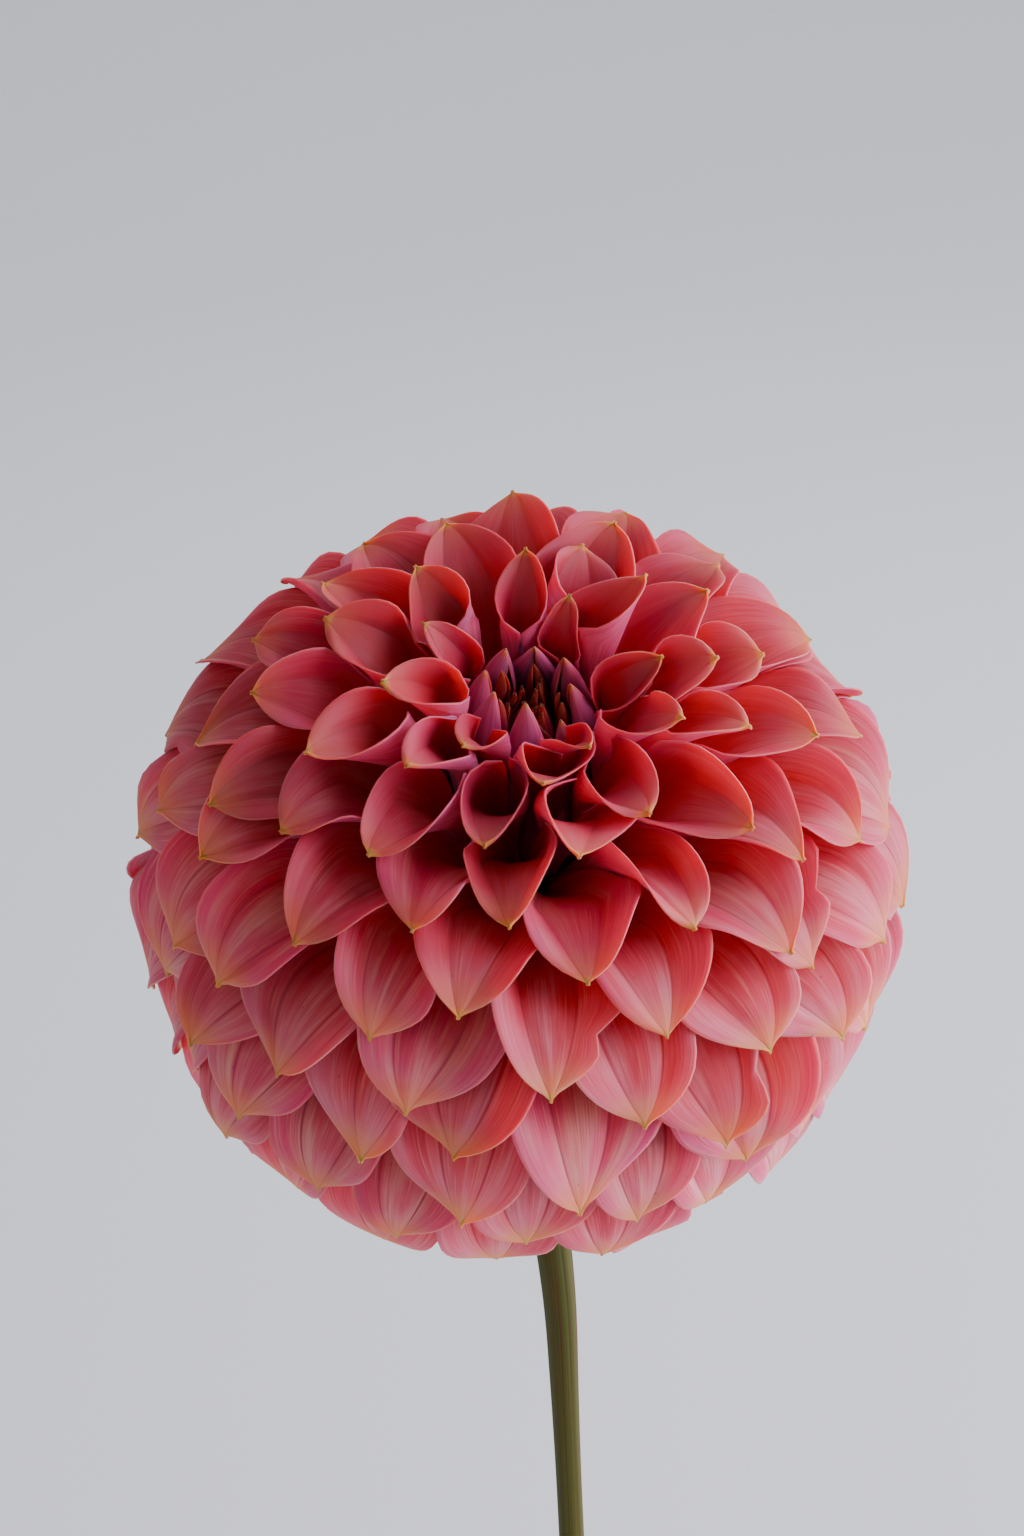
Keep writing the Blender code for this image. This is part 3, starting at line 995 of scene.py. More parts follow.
        # The inner face, young and old, whose colours come earlier or later in patches.
        shift = add_node(
            tree, "ShaderNodeMath", {"operation": "MULTIPLY_ADD"}, {0: patches, 1: 0.24, 2: -0.12}
        )
        ripe, mottle = (
            add_node(
                tree, "ShaderNodeMath", {"operation": "ADD", "use_clamp": True}, {0: first, 1: second}
            ).outputs[0]
            for first, second in ((along, shift.outputs[0]), (bleach, veins))
        )
        faces = []
        for places, colours in (
            ((0.35, 0.58, 0.80, 0.97), self.young),
            ((0.40, 0.60, 0.80, 0.97), self.old),
        ):
            ramp = add_node(tree, "ShaderNodeValToRGB", inputs={0: ripe})
            set_stops(ramp.color_ramp, zip(places, colours))
            faces.append(ramp.outputs[0])
        colour, wash, behind, rim = (
            add_node(tree, "ShaderNodeMix", COLOURS, {0: share, 6: first, 7: second}).outputs[2]
            for share, first, second in (
                (age, faces[0], faces[1]),
                (luck, self.pink, self.cream),
                (mottle, self.back, self.back_pale),
                (aged_twice, self.young_rim, self.old_rim),
            )
        )

        for coat in (
            # Pale patches, streaked along the veins, pink or cream, most on the older florets.
            Coat(wash, patches, (0.42, 0.66), (0.0, 0.65), streaked),
            # Deeper rose patches between the pale ones.
            Coat(self.rose, patches, (0.46, 0.30), (0.0, 0.45)),
            # A pink bloom towards the margins, partly the petal's own colour and partly painted sheen.
            Coat(self.pink_bloom_and_sheen, reach, (0.3, 1.0), (0.0, 0.8), bloom_and_sheen_share),
            # The back of the blade.
            Coat(behind, outer, (0.0, 1.0), (0.0, 1.0)),
            # Rose fibres all over, and cream ones between them.
            Coat(self.rose, fibres, (0.50, 0.75), (0.0, 0.42)),
            Coat(self.cream, fibres, (0.46, 0.28), (0.0, 0.26), age),
            # Two rose lines along the grooves, which meet at the tip.
            Coat(self.rose, off_groove, (0.0, 0.045), (0.9, 0.0), grooved),
            # Tiny brown specks on the older florets.
            Coat(self.speck, specks, (0.77, 0.80), (0.0, 0.5), age),
            # The pale margin, the warm tip and its yellow point.
            Coat(rim, reach, (self.rim_from, 1.0), (0.0, 0.42), tipward),
            Coat(self.tip, along, (0.85, 0.99), (0.0, 0.85), warmed),
            Coat(self.point, along, (0.965, 0.99), (0.0, 0.75)),
        ):
            colour = coat.lay(tree, colour)

        # Each floret is a little lighter or darker, and warmer or cooler, than the next.
        hue, value = (
            add_node(tree, "ShaderNodeMapRange", inputs={0: chance, 3: low, 4: high}).outputs[0]
            for chance, low, high in ((luck, 0.503, 0.494), (tone, 0.82, 1.1))
        )
        toned = add_node(
            tree, "ShaderNodeHueSaturation", inputs={"Hue": hue, "Value": value, "Color": colour}
        )
        ridges = {"Strength": 0.35, "Distance": self.bump_depth, "Height": veins}
        bump = add_node(tree, "ShaderNodeBump", inputs=ridges)
        feed(
            shader,
            {
                "Base Color": toned.outputs[0],
                "Normal": bump.outputs[0],
                "Roughness": 0.55,
                "IOR": 1.36,
                "Sheen Weight": 0.03,
                "Sheen Roughness": 0.4,
                "Sheen Tint": self.sheen,
                "Subsurface Weight": 1.0,
                "Subsurface Radius": self.glow,
                "Subsurface Scale": self.glow_depth,
            },
        )
        return made


NEST_TISSUE = PetalFinish(
    name="nest_tissue",
    young=("#500006", "#680610", "#800c18", "#901420"),
    back="#640412",
    back_pale="#8c142c",
    young_rim="#c85434",
    point="#8c3018",
    rim_from=0.90,
)
"""The tiny florets at the heart of the bud: the darkest red, with thin orange rims."""

BUD_TISSUE = PetalFinish(
    name="bud_tissue",
    young=("#600008", "#800814", "#901020", "#9c1828"),
    back="#a80c30",
    back_pale="#c4508c",
    young_rim="#d0643c",
    point="#c4682c",
    rim_from=0.88,
)
"""The closed florets round it: dark red inside, mauve where their backs show."""


@dataclass(frozen=True)
class GreenFinish:
    """Living green tissue: satin skin, streaked along its length, with another colour towards its end.

    The streaks are (across, along) in shares of the blade attribute: a quarter of a millimetre
    wide and 100 mm long on the stem, and half a millimetre wide on a bract. The end colour is the
    dry straw of a bract's tip, and on the stem painted shade, which darkens it to brown towards its foot.
    """

    name: str
    light: str
    dark: str
    streak: str
    # Towards the end: dry straw on a bract, painted shade on the stem.
    end: str
    roughness: float = 0.6
    streaks: tuple[float, float, float] = (9, 3, 1)
    bump_depth: float = 0.1 * MM
    glow: tuple[float, float, float] = (0.5, 1.0, 0.2)
    glow_depth: float = 0.6 * MM

    def material(self) -> bpy.types.Material:
        """Build the material from the blade attribute, (round or across, along, outer face).

        Returns:
            The finished material.
        """
        made, tree, shader = new_material(self.name)
        blade = add_node(tree, "ShaderNodeAttribute", {"attribute_name": "blade"}).outputs["Vector"]
        scaled = {0: blade, 1: self.streaks}
        at = add_node(tree, "ShaderNodeVectorMath", {"operation": "MULTIPLY"}, scaled)
        streaked = {0: at.outputs[0], "Scale": 1.0, "Detail": 3.0}
        fibres = add_node(tree, "ShaderNodeTexNoise", inputs=streaked).outputs[0]
        ramp = add_node(tree, "ShaderNodeValToRGB", inputs={0: fibres})
        set_stops(ramp.color_ramp, ((0.3, self.dark), (0.5, self.light), (0.72, self.streak)))
        along = add_node(tree, "ShaderNodeSeparateXYZ", inputs={0: blade}).outputs[1]
        # The end colour: painted shade on the stem, dry straw at a bract's tip.
        colour = Coat(self.end, along, (0.6, 0.97), (0.0, 0.75)).lay(tree, ramp.outputs[0])
        ridges = {"Strength": 0.3, "Distance": self.bump_depth, "Height": fibres}
        bump = add_node(tree, "ShaderNodeBump", inputs=ridges)
        feed(
            shader,
            {
                "Base Color": colour,
                "Normal": bump.outputs[0],
                "Roughness": self.roughness,
                "Specular IOR Level": 0.25,
                "Subsurface Weight": 0.15,
                "Subsurface Radius": self.glow,
                "Subsurface Scale": self.glow_depth,
            },
        )
        return made


STEM_GREEN = GreenFinish("stem_green", "#464a00", "#262400", "#4a1c02", "#2c1a02")
# The stem's skin: dark olive, streaked red brown, with painted shade that darkens it to brown towards its
# foot.
"""The stem's skin: dark olive, streaked red brown."""

BRACT_GREEN = GreenFinish("bract_green", "#6c7c34", "#4e6026", "#98924e", "#a89a5c")
"""The bracts: fresh green that dries to straw at the tip."""


@dataclass(frozen=True)
class GlazeFinish:
    """Stoneware under a satin off-white glaze, bare and buff at the foot.

    The glaze pools in soft clouds, and ends in a wandering line above the foot.
    """

    name: str = "glazed_stoneware"
    glaze: str = "#e9e6de"
    pool: str = "#d9d5ca"
    clay: str = "#b8a48c"
    cloud: float = 18.2 * MM
    bare_height: float = 3.4 * MM
    edge_width: float = 0.4 * MM
    wander: float = 2.0 * MM
    bump_depth: float = 0.3 * MM
    glaze_roughness: float = 0.22
    clay_roughness: float = 0.85

    def material(self) -> bpy.types.Material:
        """Build the material from Object coordinates.

        Returns:
            The finished material.
        """
        made, tree, shader = new_material(self.name)
        where = add_node(tree, "ShaderNodeTexCoord").outputs["Object"]
        pools = {0: where, "Scale": 1 / self.cloud, "Detail": 3.0}
        cloud = add_node(tree, "ShaderNodeTexNoise", inputs=pools).outputs[0]
        sides = {0: cloud, 6: self.glaze, 7: self.pool}
        clouded = add_node(tree, "ShaderNodeMix", COLOURS, sides).outputs[2]
        up = add_node(tree, "ShaderNodeSeparateXYZ", inputs={0: where}).outputs[2]
        terms = {0: cloud, 1: self.wander, 2: up}
        height = add_node(tree, "ShaderNodeMath", {"operation": "MULTIPLY_ADD"}, terms).outputs[0]
        edge = (self.bare_height, self.bare_height + self.edge_width)
        colour = Coat(self.clay, height, edge, (1.0, 0.0)).lay(tree, clouded)
        ends = dict(enumerate((height, *edge, self.clay_roughness, self.glaze_roughness)))
        rough = add_node(tree, "ShaderNodeMapRange", SMOOTH, ends)
        ridges = {"Strength": 0.15, "Distance": self.bump_depth, "Height": cloud}
        bump = add_node(tree, "ShaderNodeBump", inputs=ridges)
        feed(
            shader,
            {
                "Base Color": colour,
                "Normal": bump.outputs[0],
                "Roughness": rough.outputs[0],
                "IOR": 1.5,
            },
        )
        return made


@dataclass(frozen=True)
class PaperFinish:
    """Matt pale paper of the studio's floor and sweep."""

    name: str = "sweep_paper"
    colour: str = "#e9ebed"

    def material(self) -> bpy.types.Material:
        """Build the material: near white, with no gloss.

        Returns:
            The finished material.
        """
        made, _, shader = new_material(self.name)
        feed(shader, {"Base Color": self.colour, "Roughness": 0.9})
        return made


# Sub-assemblies.


@dataclass(frozen=True)
class Change:
    """A smooth change from the head's middle outwards, by the angle of a floret's tip in degrees."""

    start: float
    span: float

    def at(self, angle: float) -> float:
        """Return how far it has gone at this angle, from 0 to 1."""
        return float(rise(angle, math.radians(self.start), math.radians(self.span)))


@dataclass
class RayFlorets:
    """The open florets of the head, in rings of eight along one golden spiral.

    Pairs of sizes are for the youngest florets, next to the bud, and for the oldest. The cups are
    in degrees, near the foot, in the middle and at the tip. The tilt, jitter, stray and the shares
    of the width and the cup are what a chance value of 1 gives.
    """

    ball_radius: float = 55 * MM
    dome_radius: float = 13 * MM
    root_depth: float = 0.4 * MM
    crater_depth: float = 0.18
    crater_angle: float = 0.45
    count: int = 150
    ring_size: int = 8
    golden_angle: float = math.radians(137.47)
    first_azimuth: float = math.radians(70.5)
    first_tip_angle: float = math.radians(17.2)
    tip_angle_span: float = math.radians(117.9)
    span_florets: int = 160
    spiral_power: float = 0.864
    base_angles: tuple[float, float] = (math.radians(24), math.radians(112))
    half_widths: tuple[float, float] = (7.0 * MM, 14.2 * MM)
    reflex: tuple[float, float] = (math.radians(26), math.radians(84))
    cups: tuple[tuple[float, float], ...] = ((165, 105), (168, 46), (145, 24))
    cup_luck: tuple[float, float] = (0.06, 0.2)
    width_luck: float = 0.07
    lean: float = math.radians(24)
    lift_reach: float = 0.42
    land_reach: tuple[float, float] = (0.38, 0.50)
    crease: tuple[float, float] = (0.1, 0.75)
    crease_luck: float = 0.2
    pinch: tuple[float, float] = (0.15, 0.6)
    unruly: tuple[float, float] = (1.0, 0.3)
    tilt: float = math.radians(1.3)
    jitter: float = 0.6 * MM
    stray: float = math.radians(2.2)
    stray_limit: float = 1.6
    nick: float = 0.5
    nick_luck: float = 1.3
    nick_age: float = 0.5
    reflexing: Change = Change(12, 66)
    lying: Change = Change(45, 45)
    growing: Change = Change(10, 24)
    opening: Change = Change(18, 66)
    ageing: Change = Change(18, 90)
    calming: Change = Change(96, 24)

    def tip_angle(self, index: int) -> float:
        """Return the angle between the head's axis and the tip of this floret."""
        share = (index / self.span_florets) ** self.spiral_power
        return self.first_tip_angle + self.tip_angle_span * share

    def tip_radius(self, angle: float) -> float:
        """Return how far a tip stands from the ball's centre, less over the bud's crater."""
        return self.ball_radius * (1 - self.crater_depth * math.exp(-((angle / self.crater_angle) ** 2)))

    def blade(self, index: int) -> Blade:
        """Shape one floret: a rolled trumpet near the bud, an open scale further out.

        Args:
            index: Its number along the spiral.

        Returns:
            The floret's blade, at azimuth 0.
        """
        angle = self.tip_angle(index)
        base_angle = mix(*self.base_angles, (index + 0.5) / self.count)
        bend = mix(*self.reflex, self.reflexing.at(angle))
        push, widen, curl, fold, tilt = chances(np.random.default_rng(index + RAY_SEED), 5)
        angle = angle + self.tilt * tilt
        start = polar(self.dome_radius - self.root_depth, base_angle)
        end = polar(self.tip_radius(angle) + self.jitter * push, angle)
        reach = float(np.linalg.norm(end - start))
        lies = self.lying.at(angle)
        lift = start + polar(reach * self.lift_reach, base_angle - self.lean * lies)
        land = end - polar(reach * mix(*self.land_reach, lies), angle + bend)
        opening = self.opening.at(angle)
        age = self.ageing.at(angle)
        return Blade(
            midrib=(start, lift, land, end),
            half_width=mix(*self.half_widths, self.growing.at(angle)) * (1 + self.width_luck * widen),
            cup=tuple(
                math.radians(mix(*cup, opening)) * (1 + mix(*self.cup_luck, opening) * curl)
                for cup in self.cups
            ),
            outline=Outline.RAY,
            age=age,
            seed=index,
            unruly=mix(*self.unruly, self.calming.at(angle)),
            crease=mix(*self.crease, age) + self.crease_luck * fold * age,
            pinch=mix(*self.pinch, age),
            nick=self.nick * float(fold > self.nick_luck and age > self.nick_age),
        )

    def aside(self, points: np.ndarray, index: int) -> np.ndarray:
        """Turn a floret a little round the axis, away from its place in the spiral.

        Args:
            points: Its middle surface, as a (row, line, xyz) array.
            index: Its number along the spiral.

        Returns:
            The same surface, turned.
        """
        luck = chances(np.random.default_rng(index + STRAY_SEED), 1, self.stray_limit)
        turn = self.stray * float(luck[0])
        out, side, up = np.moveaxis(points, -1, 0)
        turned_out = out * math.cos(turn) - side * math.sin(turn)
        turned_side = out * math.sin(turn) + side * math.cos(turn)
        return np.stack((turned_out, turned_side, up), axis=-1)

    def build(self, whorl: Whorl, layers: Layers, finish: bpy.types.Material) -> None:
        """Build every ring of florets, each floret pressed against those before it.

        Args:
            whorl: What sets the florets out round the axis.
            layers: The room taken so far.
            finish: Their material.
        """
        for ring in range(math.ceil(self.count / self.ring_size)):
            first = ring * self.ring_size
            meshes = []
            for index in range(first, min(first + self.ring_size, self.count)):
                blade = self.blade(index)
                azimuth = self.first_azimuth - index * self.golden_angle
                points = layers.settle(self.aside(blade.points(), index), azimuth)
                meshes.append(blade.mesh(f"ray_floret_{index:03d}", points))
            piece = whorl.lay_out(
                f"ray_florets_{ring + 1:02d}",
                meshes,
                finish,
                turn_each=-self.golden_angle,
                first_azimuth=self.first_azimuth,
                first_blade=first,
            )
            hand_over(piece, "ray_floret", f"ray_floret_ring_{ring + 1:02d}")


@dataclass(frozen=True)
class BudRing:
    """One ring of closed florets.

    The foot, belly and tip are distances from the head's axis, the height is along it from the
    ball's centre, and the cup is in degrees.
    """

    name: str
    node: str
    tissue: PetalFinish
    outline: Outline
    count: int
    foot: float
    belly: float
    tip: float
    height: float
    half_width: float
    cup: tuple[float, float, float]
    turn_each: float
    seed: int


@dataclass
class Bud:
    """The closed florets at the pole of the head, and the tiny curled ones at its heart.

    A ring of more florets than the crowd fills its middle too, and each floret there stands
    further out than the one before. The belly is widest between its two heights, which are shares
    of the floret's own height.
    """

    dome_radius: float = 13 * MM
    root_depth: float = 0.4 * MM
    crowd: int = 8
    belly_heights: tuple[float, float] = (0.35, 0.72)
    height_luck: float = 0.7 * MM
    tip_luck: float = 0.15
    width_luck: float = 0.06
    rings: tuple[BudRing, ...] = (
        BudRing(
            "bud_heart",
            "bud_core",
            NEST_TISSUE,
            Outline.RAY,
            count=13,
            foot=0.6 * MM,
            belly=4.4 * MM,
            tip=4.0 * MM,
            height=39.8 * MM,
            half_width=3.0 * MM,
            cup=(150, 160, 160),
            turn_each=math.radians(137.5),
            seed=740,
        ),
        BudRing(
            "bud_florets_young",
            "bud_florets_inner",
            NEST_TISSUE,
            Outline.BUD,
            count=5,
            foot=2.0 * MM,
            belly=7.4 * MM,
            tip=4.4 * MM,
            height=41.4 * MM,
            half_width=6.0 * MM,
            cup=(165, 174, 165),
            turn_each=math.radians(72),
            seed=720,
        ),
        BudRing(
            "bud_florets",
            "bud_florets_outer",
            BUD_TISSUE,
            Outline.BUD,
            count=8,
            foot=4.4 * MM,
            belly=12.6 * MM,
            tip=5.6 * MM,
            height=43.6 * MM,
            half_width=10.2 * MM,
            cup=(165, 178, 176),
            turn_each=math.radians(135),
            seed=700,
        ),
    )

    def blade(self, ring: BudRing, number: int) -> Blade:
        """Shape one closed floret, rolled up round itself.

        Args:
            ring: Its ring.
            number: Its number in the ring.

        Returns:
            The floret's blade, at azimuth 0.
        """
        stretch, lean, widen = np.random.default_rng(ring.seed + number + BUD_SEED).normal(0, 1, 3)
        spread = (number + 0.5) / ring.count if ring.count > self.crowd else 1.0
        belly, tip = ring.belly * math.sqrt(spread), ring.tip * spread
        height = ring.height + self.height_luck * stretch
        start = np.array((ring.foot, math.sqrt(self.dome_radius**2 - ring.foot**2) - self.root_depth))
        end = np.array((tip * (1 + self.tip_luck * lean), height))
        lift, land = (
            np.array((belly, start[1] + (height - start[1]) * share)) for share in self.belly_heights
        )
        return Blade(
            midrib=(start, lift, land, end),
            half_width=ring.half_width * (1 + self.width_luck * widen),
            cup=tuple(math.radians(part) for part in ring.cup),
            outline=ring.outline,
            age=0.0,
            seed=ring.seed + number,
            thickness=0.35 * MM,
            unruly=0.5,
            puff=0.15 * MM,
            rows=22,
        )

    def build(self, whorl: Whorl, layers: Layers) -> None:
        """Build the heart and both rings of closed florets, from the inside outwards.

        Args:
            whorl: What sets the florets out round the axis.
            layers: The room taken so far.
        """
        tissues = dict.fromkeys(ring.tissue for ring in self.rings)
        finishes = {tissue: tissue.material() for tissue in tissues}
        for ring in self.rings:
            meshes = []
            for number in range(ring.count):
                blade = self.blade(ring, number)
                points = layers.settle(blade.points(), number * ring.turn_each)
                meshes.append(blade.mesh(f"{ring.name}_{number:02d}", points))
            piece = whorl.lay_out(ring.name, meshes, finishes[ring.tissue], ring.turn_each)
            hand_over(piece, "bud_floret", ring.node)


@dataclass(frozen=True)
class BractRing:
    """One ring of bracts: where they stand in degrees from the head's axis, and their size.

    The reach is from the ball's centre to the tip, and the bend turns the tip back, in degrees.
    """

    name: str
    count: int
    foot_angle: float
    tip_angle: float
    reach: float
    bend: float
    half_width: float


@dataclass
class Bracts:
    """The green leaflets behind the head: broad papery inner ones, small reflexed outer ones."""

    dome_radius: float = 13 * MM
    root_depth: float = 0.3 * MM
    lift_reach: float = 0.42
    land_reach: float = 0.38
    cup: tuple[float, float, float] = (40, 32, 24)
    rings: tuple[BractRing, ...] = (
        BractRing(
            "inner_bract",
            count=8,
            foot_angle=121,
            tip_angle=137,
            reach=33 * MM,
            bend=30,
            half_width=5.0 * MM,
        ),
        BractRing(
            "outer_bract",
            count=5,
            foot_angle=134,
            tip_angle=158,
            reach=29 * MM,
            bend=-35,
            half_width=3.4 * MM,
        ),
    )

    def blade(self, ring: BractRing, seed: int) -> Blade:
        """Shape one bract.

        Args:
            ring: Its ring.
            seed: The seed of its chance values.

        Returns:
            The bract's blade, at azimuth 0.
        """
        foot, tip = math.radians(ring.foot_angle), math.radians(ring.tip_angle)
        start = polar(self.dome_radius - self.root_depth, foot)
        end = polar(ring.reach, tip)
        length = float(np.linalg.norm(end - start))
        lift = start + polar(length * self.lift_reach, foot)
        land = end - polar(length * self.land_reach, tip + math.radians(ring.bend))
        return Blade(
            midrib=(start, lift, land, end),
            half_width=ring.half_width,
            cup=tuple(math.radians(part) for part in self.cup),
            outline=Outline.BRACT,
            age=0.5,
            seed=seed,
            thickness=0.5 * MM,
            unruly=0.6,
            puff=0.2 * MM,
            rows=18,
        )

    def build(self, whorl: Whorl, finish: bpy.types.Material) -> None:
        """Build each bract as a piece of its own.

        Args:
            whorl: What sets the bracts out round the axis.
            finish: Their material.
        """
        for ring in self.rings:
            turn_each = 2 * math.pi / ring.count
            for number in range(ring.count):
                blade = self.blade(ring, BRACT_SEED + number)
                mesh = blade.mesh(f"blade_{blade.seed}", blade.points())
                piece = whorl.lay_out(
                    f"{ring.name}_leaf_{number + 1}", [mesh], finish, turn_each, first_blade=number
                )
                hand_over(piece, "bract_green", f"{ring.name}_{number + 1}")


@dataclass
class Stem:
    """The stem in one piece: the receptacle's dome, the bent neck and the straight shank."""

    centre: Vector
    dome_radius: float = 13 * MM
    dome_edge: float = math.radians(132)
    dome_rows: int = 24
    radius: float = 2.1 * MM
    neck_radius: float = 3.5 * MM
    neck_start: float = 24 * MM
    flare_rows: int = 9
    flare_power: float = 2.2
    taper_length: float = 100 * MM
    neck_end: Vector = Vector((-3.2 * MM, -19.7 * MM, 214 * MM))
    neck_handle: float = 0.3
    shank_handle: float = 0.45
    neck_rows: int = 40
    shank_rows: int = 60
    foot: Vector = Vector((6.0 * MM, 8.2 * MM, 8.7 * MM))
    cut: float = math.radians(35)
    ribs: int = 9
    rib_height: float = 0.012
    sides: int = 40

    def radius_at(self, point: Vector) -> float:
        """Return the stem's radius here: stout at the neck, slender further down."""
        drop = self.centre.z - self.neck_start - point.z
        return mix(self.neck_radius, self.radius, float(smooth_step(drop / self.taper_length)))

    def stations(self) -> list[tuple[Vector, Vector, float]]:
        """Follow the stem from the dome down.

        Returns:
            The (centre, direction, radius) of each cross-section.
        """
        found = []
        for number in range(1, self.dome_rows + 1):
            place = polar(self.dome_radius, self.dome_edge * number / self.dome_rows)
            found.append((self.centre + HEAD_AXIS * place[1], -HEAD_AXIS, place[0]))
        neck_top = self.centre - HEAD_AXIS * self.neck_start
        rim, _, rim_radius = found[-1]
        for number in range(1, self.flare_rows):
            share = number / self.flare_rows
            flare = mix(rim_radius, self.neck_radius, 1 - (1 - share) ** self.flare_power)
            found.append((mix(rim, neck_top, share), -HEAD_AXIS, flare))
        down = (self.foot - self.neck_end).normalized()
        reach = (self.neck_end - neck_top).length
        lift = neck_top - HEAD_AXIS * reach * self.neck_handle
        land = self.neck_end - down * reach * self.shank_handle
        for number in range(self.neck_rows):
            point, slope = cubic(neck_top, lift, land, self.neck_end, number / self.neck_rows)
            found.append((point, slope.normalized(), self.radius_at(point)))
        for number in range(self.shank_rows + 1):
            point = mix(self.neck_end, self.foot, number / self.shank_rows)
            found.append((point, down, self.radius_at(point)))
        return found

    def build(self, finish: bpy.types.Material) -> None:
        """Build the stem as one closed, faintly ribbed skin, cut at a slant at its foot.

        Args:
            finish: Its material.
        """
        shell = bmesh.new()
        layer = shell.verts.layers.float_vector.new("blade")
        found = self.stations()
        across = Vector((1, 0, 0))
        loops = []
        for number, (centre, slope, radius) in enumerate(found):
            across = (across - slope * across.dot(slope)).normalized()
            beside = across.cross(slope)
            loop = []
            for side in range(self.sides):
                turn = 2 * math.pi * side / self.sides
                rib = radius * (1 + self.rib_height * math.cos(turn * self.ribs))
                spot = centre + across * rib * math.cos(turn) - beside * rib * math.sin(turn)
                if number == len(found) - 1:
                    spot = spot + slope * radius * math.cos(turn) * math.tan(self.cut)
                corner = shell.verts.new(spot)
                corner[layer] = (math.cos(turn), number / len(found), math.sin(turn))
                loop.append(corner)
            loops.append(loop)
        for loop, following in zip(loops, loops[1:]):
            for side in range(self.sides):
                after = (side + 1) % self.sides
                shell.faces.new((loop[side], following[side], following[after], loop[after]))
        shell.faces.new(loops[0])
        shell.faces.new(loops[-1])
        piece = add_piece("stem_skin", smooth_mesh("stem_skin", shell), finish)
        hand_over(piece, "stem_green", "stem")


def quarter(rows: int) -> list[float]:
    """Return the angles of the rows round a quarter of a circle, both ends included."""
    return [math.pi / 2 * number / rows for number in range(rows + 1)]


@dataclass
class Vase:
    """The vase, turned on the wheel: foot, belly, shoulder, neck and rolled lip."""

    height: float = 145 * MM
    foot_radius: float = 29 * MM
    belly_radius: float = 36 * MM
    belly_height: float = 40 * MM
    neck_radius: float = 13.7 * MM
    neck_height: float = 114 * MM
    lip_radius: float = 16 * MM
    wall: float = 3.2 * MM
    floor: float = 7 * MM
    bevel: float = 1.5 * MM
    floor_round: float = 4 * MM
    round_rows: int = 6
    sides: int = 112
    steps: int = 60

    def radius(self, height: float) -> float:
        """Find the outer wall.

        Args:
            height: A height above the foot.

        Returns:
            The outer radius there.
        """
        if height < self.belly_height:
            under = (1 - height / self.belly_height) ** 2
            return self.belly_radius - (self.belly_radius - self.foot_radius) * under
        if height < self.neck_height:
            share = (height - self.belly_height) / (self.neck_height - self.belly_height)
            return mix(self.belly_radius, self.neck_radius, float(smooth_step(share)))
        share = (height - self.neck_height) / (self.height - self.neck_height)
        return mix(self.neck_radius, self.lip_radius, share**2)

    def outline(self) -> list[tuple[float, float]]:
        """Draw the section, up the outside and down the inside.

        Returns:
            Its (radius, height) points.
        """
        lip = self.wall / 2
        brim, floor = self.height - lip, self.floor + self.bevel
        heights = [mix(self.bevel, brim, number / self.steps) for number in range(1, self.steps)]
        depths = [mix(brim, floor, number / self.steps) for number in range(1, self.steps)]
        edge = self.radius(brim)
        inner = self.radius(floor) - self.wall
        return [
            (0.0, 0.0),
            *(
                (self.foot_radius - self.bevel * (1 - math.sin(turn)), self.bevel * (1 - math.cos(turn)))
                for turn in quarter(self.round_rows)
            ),
            *((self.radius(height), height) for height in heights),
            *(
                (edge - lip * (1 - math.cos(turn * 2)), self.height - lip * (1 - math.sin(turn * 2)))
                for turn in quarter(self.round_rows * 2)
            ),
            *((self.radius(height) - self.wall, height) for height in depths),
            *(
                (inner - self.floor_round * (1 - math.cos(turn)), floor - self.bevel * math.sin(turn))
                for turn in quarter(self.round_rows)
            ),
            (0.0, self.floor),
        ]

    def build(self, finish: bpy.types.Material) -> None:
        """Turn the section round the vase's axis."""
        piece = add_piece("vase_body", turned_mesh("vase_body", self.outline(), self.sides), finish)
        hand_over(piece, "glazed_stoneware", "bud_vase")


@dataclass(frozen=True)
class Lamp:
    """One soft square light: its place, what it faces, its side in metres, watts and colour."""

    name: str
    place: Vector
    target: Vector
    size: float
    power: float
    colour: str

    def build(self) -> None:
        """Add the light to the scene."""
        light = bpy.data.lights.new(self.name, "AREA")
        light.size = self.size
        light.energy = self.power
        light.color = linear(self.colour)[:3]
        holder = bpy.data.objects.new(self.name, light)
        holder.location = self.place
        holder.rotation_euler = (self.target - self.place).to_track_quat("-Z", "Y").to_euler()
        bpy.context.scene.collection.objects.link(holder)


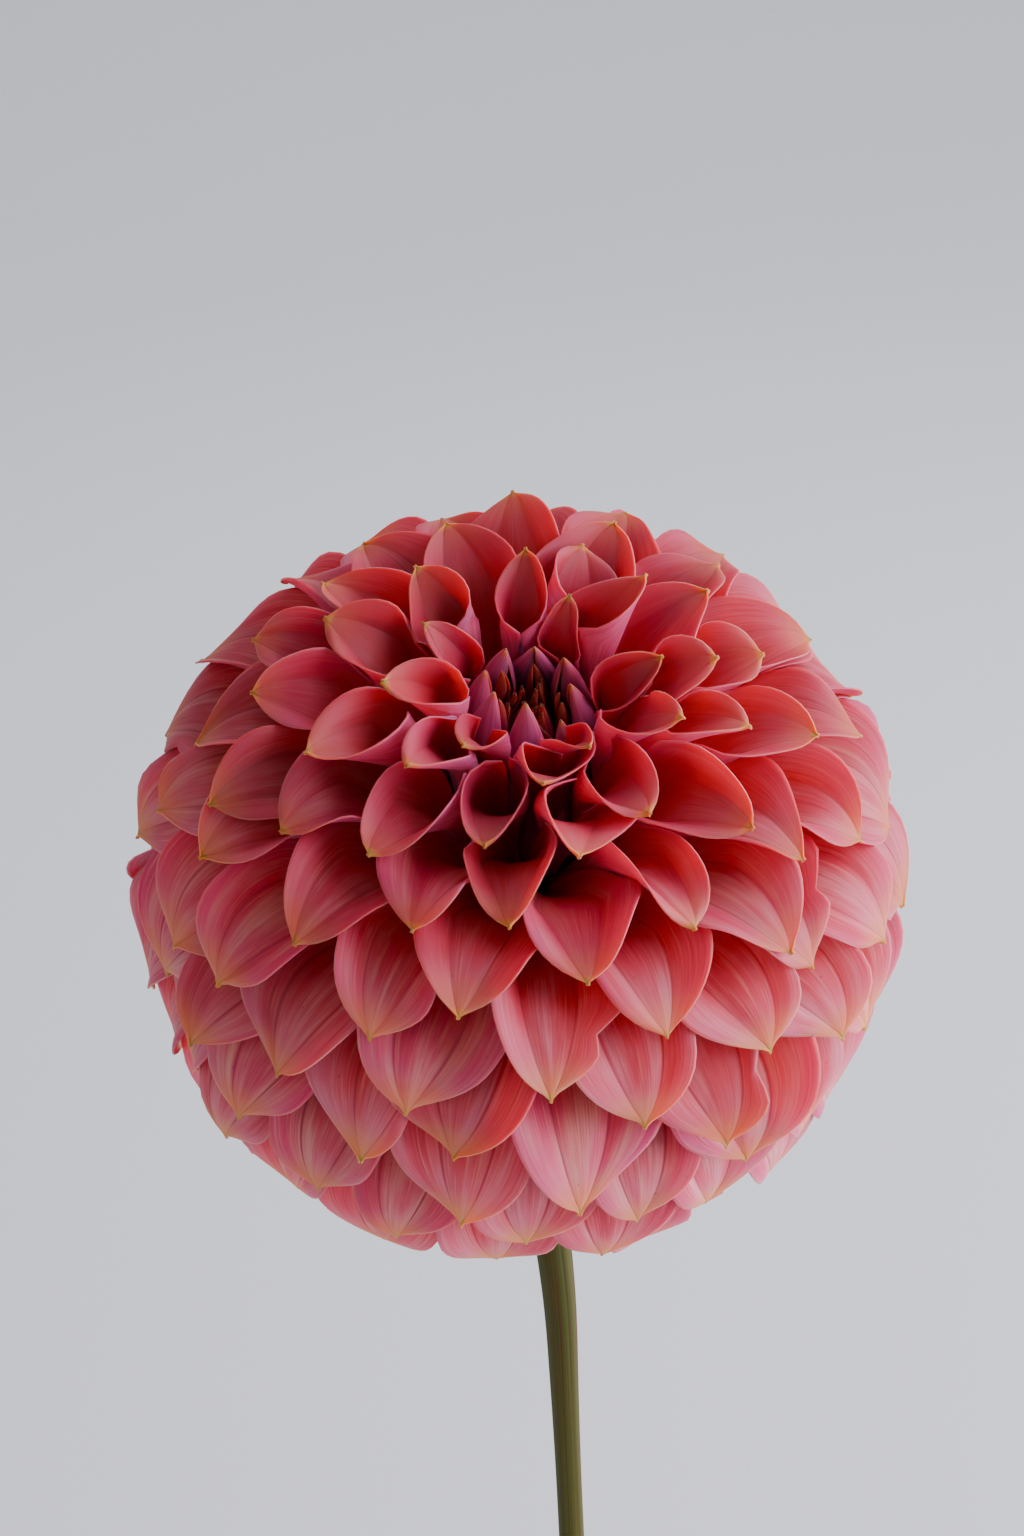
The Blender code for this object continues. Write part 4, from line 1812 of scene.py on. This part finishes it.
@dataclass
class Studio:
    """A pale paper sweep, a soft key light from the upper right, and the camera."""

    head: Vector
    distance: float = 0.5
    pitch: float = math.radians(24)
    sensor: float = 36
    lens: float = 80.46
    nearest: float = 0.05
    aim_up: float = 16.3 * MM
    aim_side: float = -1.3 * MM
    floor_radius: float = 1.5
    curve_radius: float = 1.9
    curve_rows: int = 16
    wall_height: float = 3.0
    sides: int = 96
    room_colour: str = "#dfe3e8"
    room_light: float = 0.4

    def build_sweep(self, finish: bpy.types.Material) -> None:
        """Build the floor, a wide disc that curves up into a low wall all round.

        Args:
            finish: Its material.
        """
        section = [(0.0, 0.0)]
        for turn in quarter(self.curve_rows):
            out = self.floor_radius + self.curve_radius * math.sin(turn)
            section.append((out, self.curve_radius * (1 - math.cos(turn))))
        section.append((self.floor_radius + self.curve_radius, self.wall_height))
        add_piece("sweep", turned_mesh("sweep", section, self.sides), finish)

    def build_lights(self) -> None:
        """Light the flower softly from the right, with a weak fill, and wash the wall."""
        head = self.head
        for lamp in (
            Lamp("key", head + Vector((1.05, -0.12, 0.26)), head, size=1.4, power=39, colour="#f4f0ff"),
            Lamp("fill", head + Vector((-0.6, -1.0, 0.4)), head, size=0.9, power=1.3, colour="#ffc898"),
            Lamp(
                "wash",
                place=Vector((0.4, 0.9, 1.6)),
                target=Vector((0, 1.6, 0)),
                size=1.0,
                power=18,
                colour="#fbfaff",
            ),
        ):
            lamp.build()
        world = bpy.data.worlds.new("room")
        world.use_nodes = True
        light = {"Color": self.room_colour, "Strength": self.room_light}
        feed(world.node_tree.nodes["Background"], light)
        bpy.context.scene.world = world

    def build_camera(self) -> None:
        """Set the camera up in front of the flower, looking down on it a little."""
        forward = Vector((0, math.cos(self.pitch), -math.sin(self.pitch)))
        upward = Vector((0, math.sin(self.pitch), math.cos(self.pitch)))
        camera = bpy.data.cameras.new("camera")
        camera.sensor_width = self.sensor
        camera.lens = self.lens
        camera.clip_start = self.nearest
        holder = bpy.data.objects.new("camera", camera)
        holder.location = self.head - forward * self.distance
        aim = self.head + upward * self.aim_up + Vector((self.aim_side, 0, 0))
        holder.rotation_euler = (aim - holder.location).to_track_quat("-Z", "Y").to_euler()
        bpy.context.scene.collection.objects.link(holder)
        bpy.context.scene.camera = holder


def head_centre() -> Vector:
    """Find the ball's centre from the bud's core, which stands on the axis over the dome."""
    low, high = (Vector(corner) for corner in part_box("bud_core"))
    return (low + high) / 2 - HEAD_AXIS * ((CORE_FOOT + CORE_TIP) / 2)


def main() -> None:
    """Build the object piece by piece, then the studio round it."""
    logging.basicConfig(level=logging.INFO, format="%(name)s: %(message)s")
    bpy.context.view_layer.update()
    centre = head_centre()
    LOG.info("head centre %s", tuple(round(value / MM, 2) for value in centre))
    Vase().build(GlazeFinish().material())
    Stem(centre).build(STEM_GREEN.material())
    whorl = Whorl(centre)
    Bracts().build(whorl, BRACT_GREEN.material())
    layers = Layers()
    Bud().build(whorl, layers)
    RayFlorets().build(whorl, layers, PetalFinish().material())
    studio = Studio(centre)
    studio.build_sweep(PaperFinish().material())
    studio.build_lights()
    studio.build_camera()


if __name__ == "__main__":
    main()
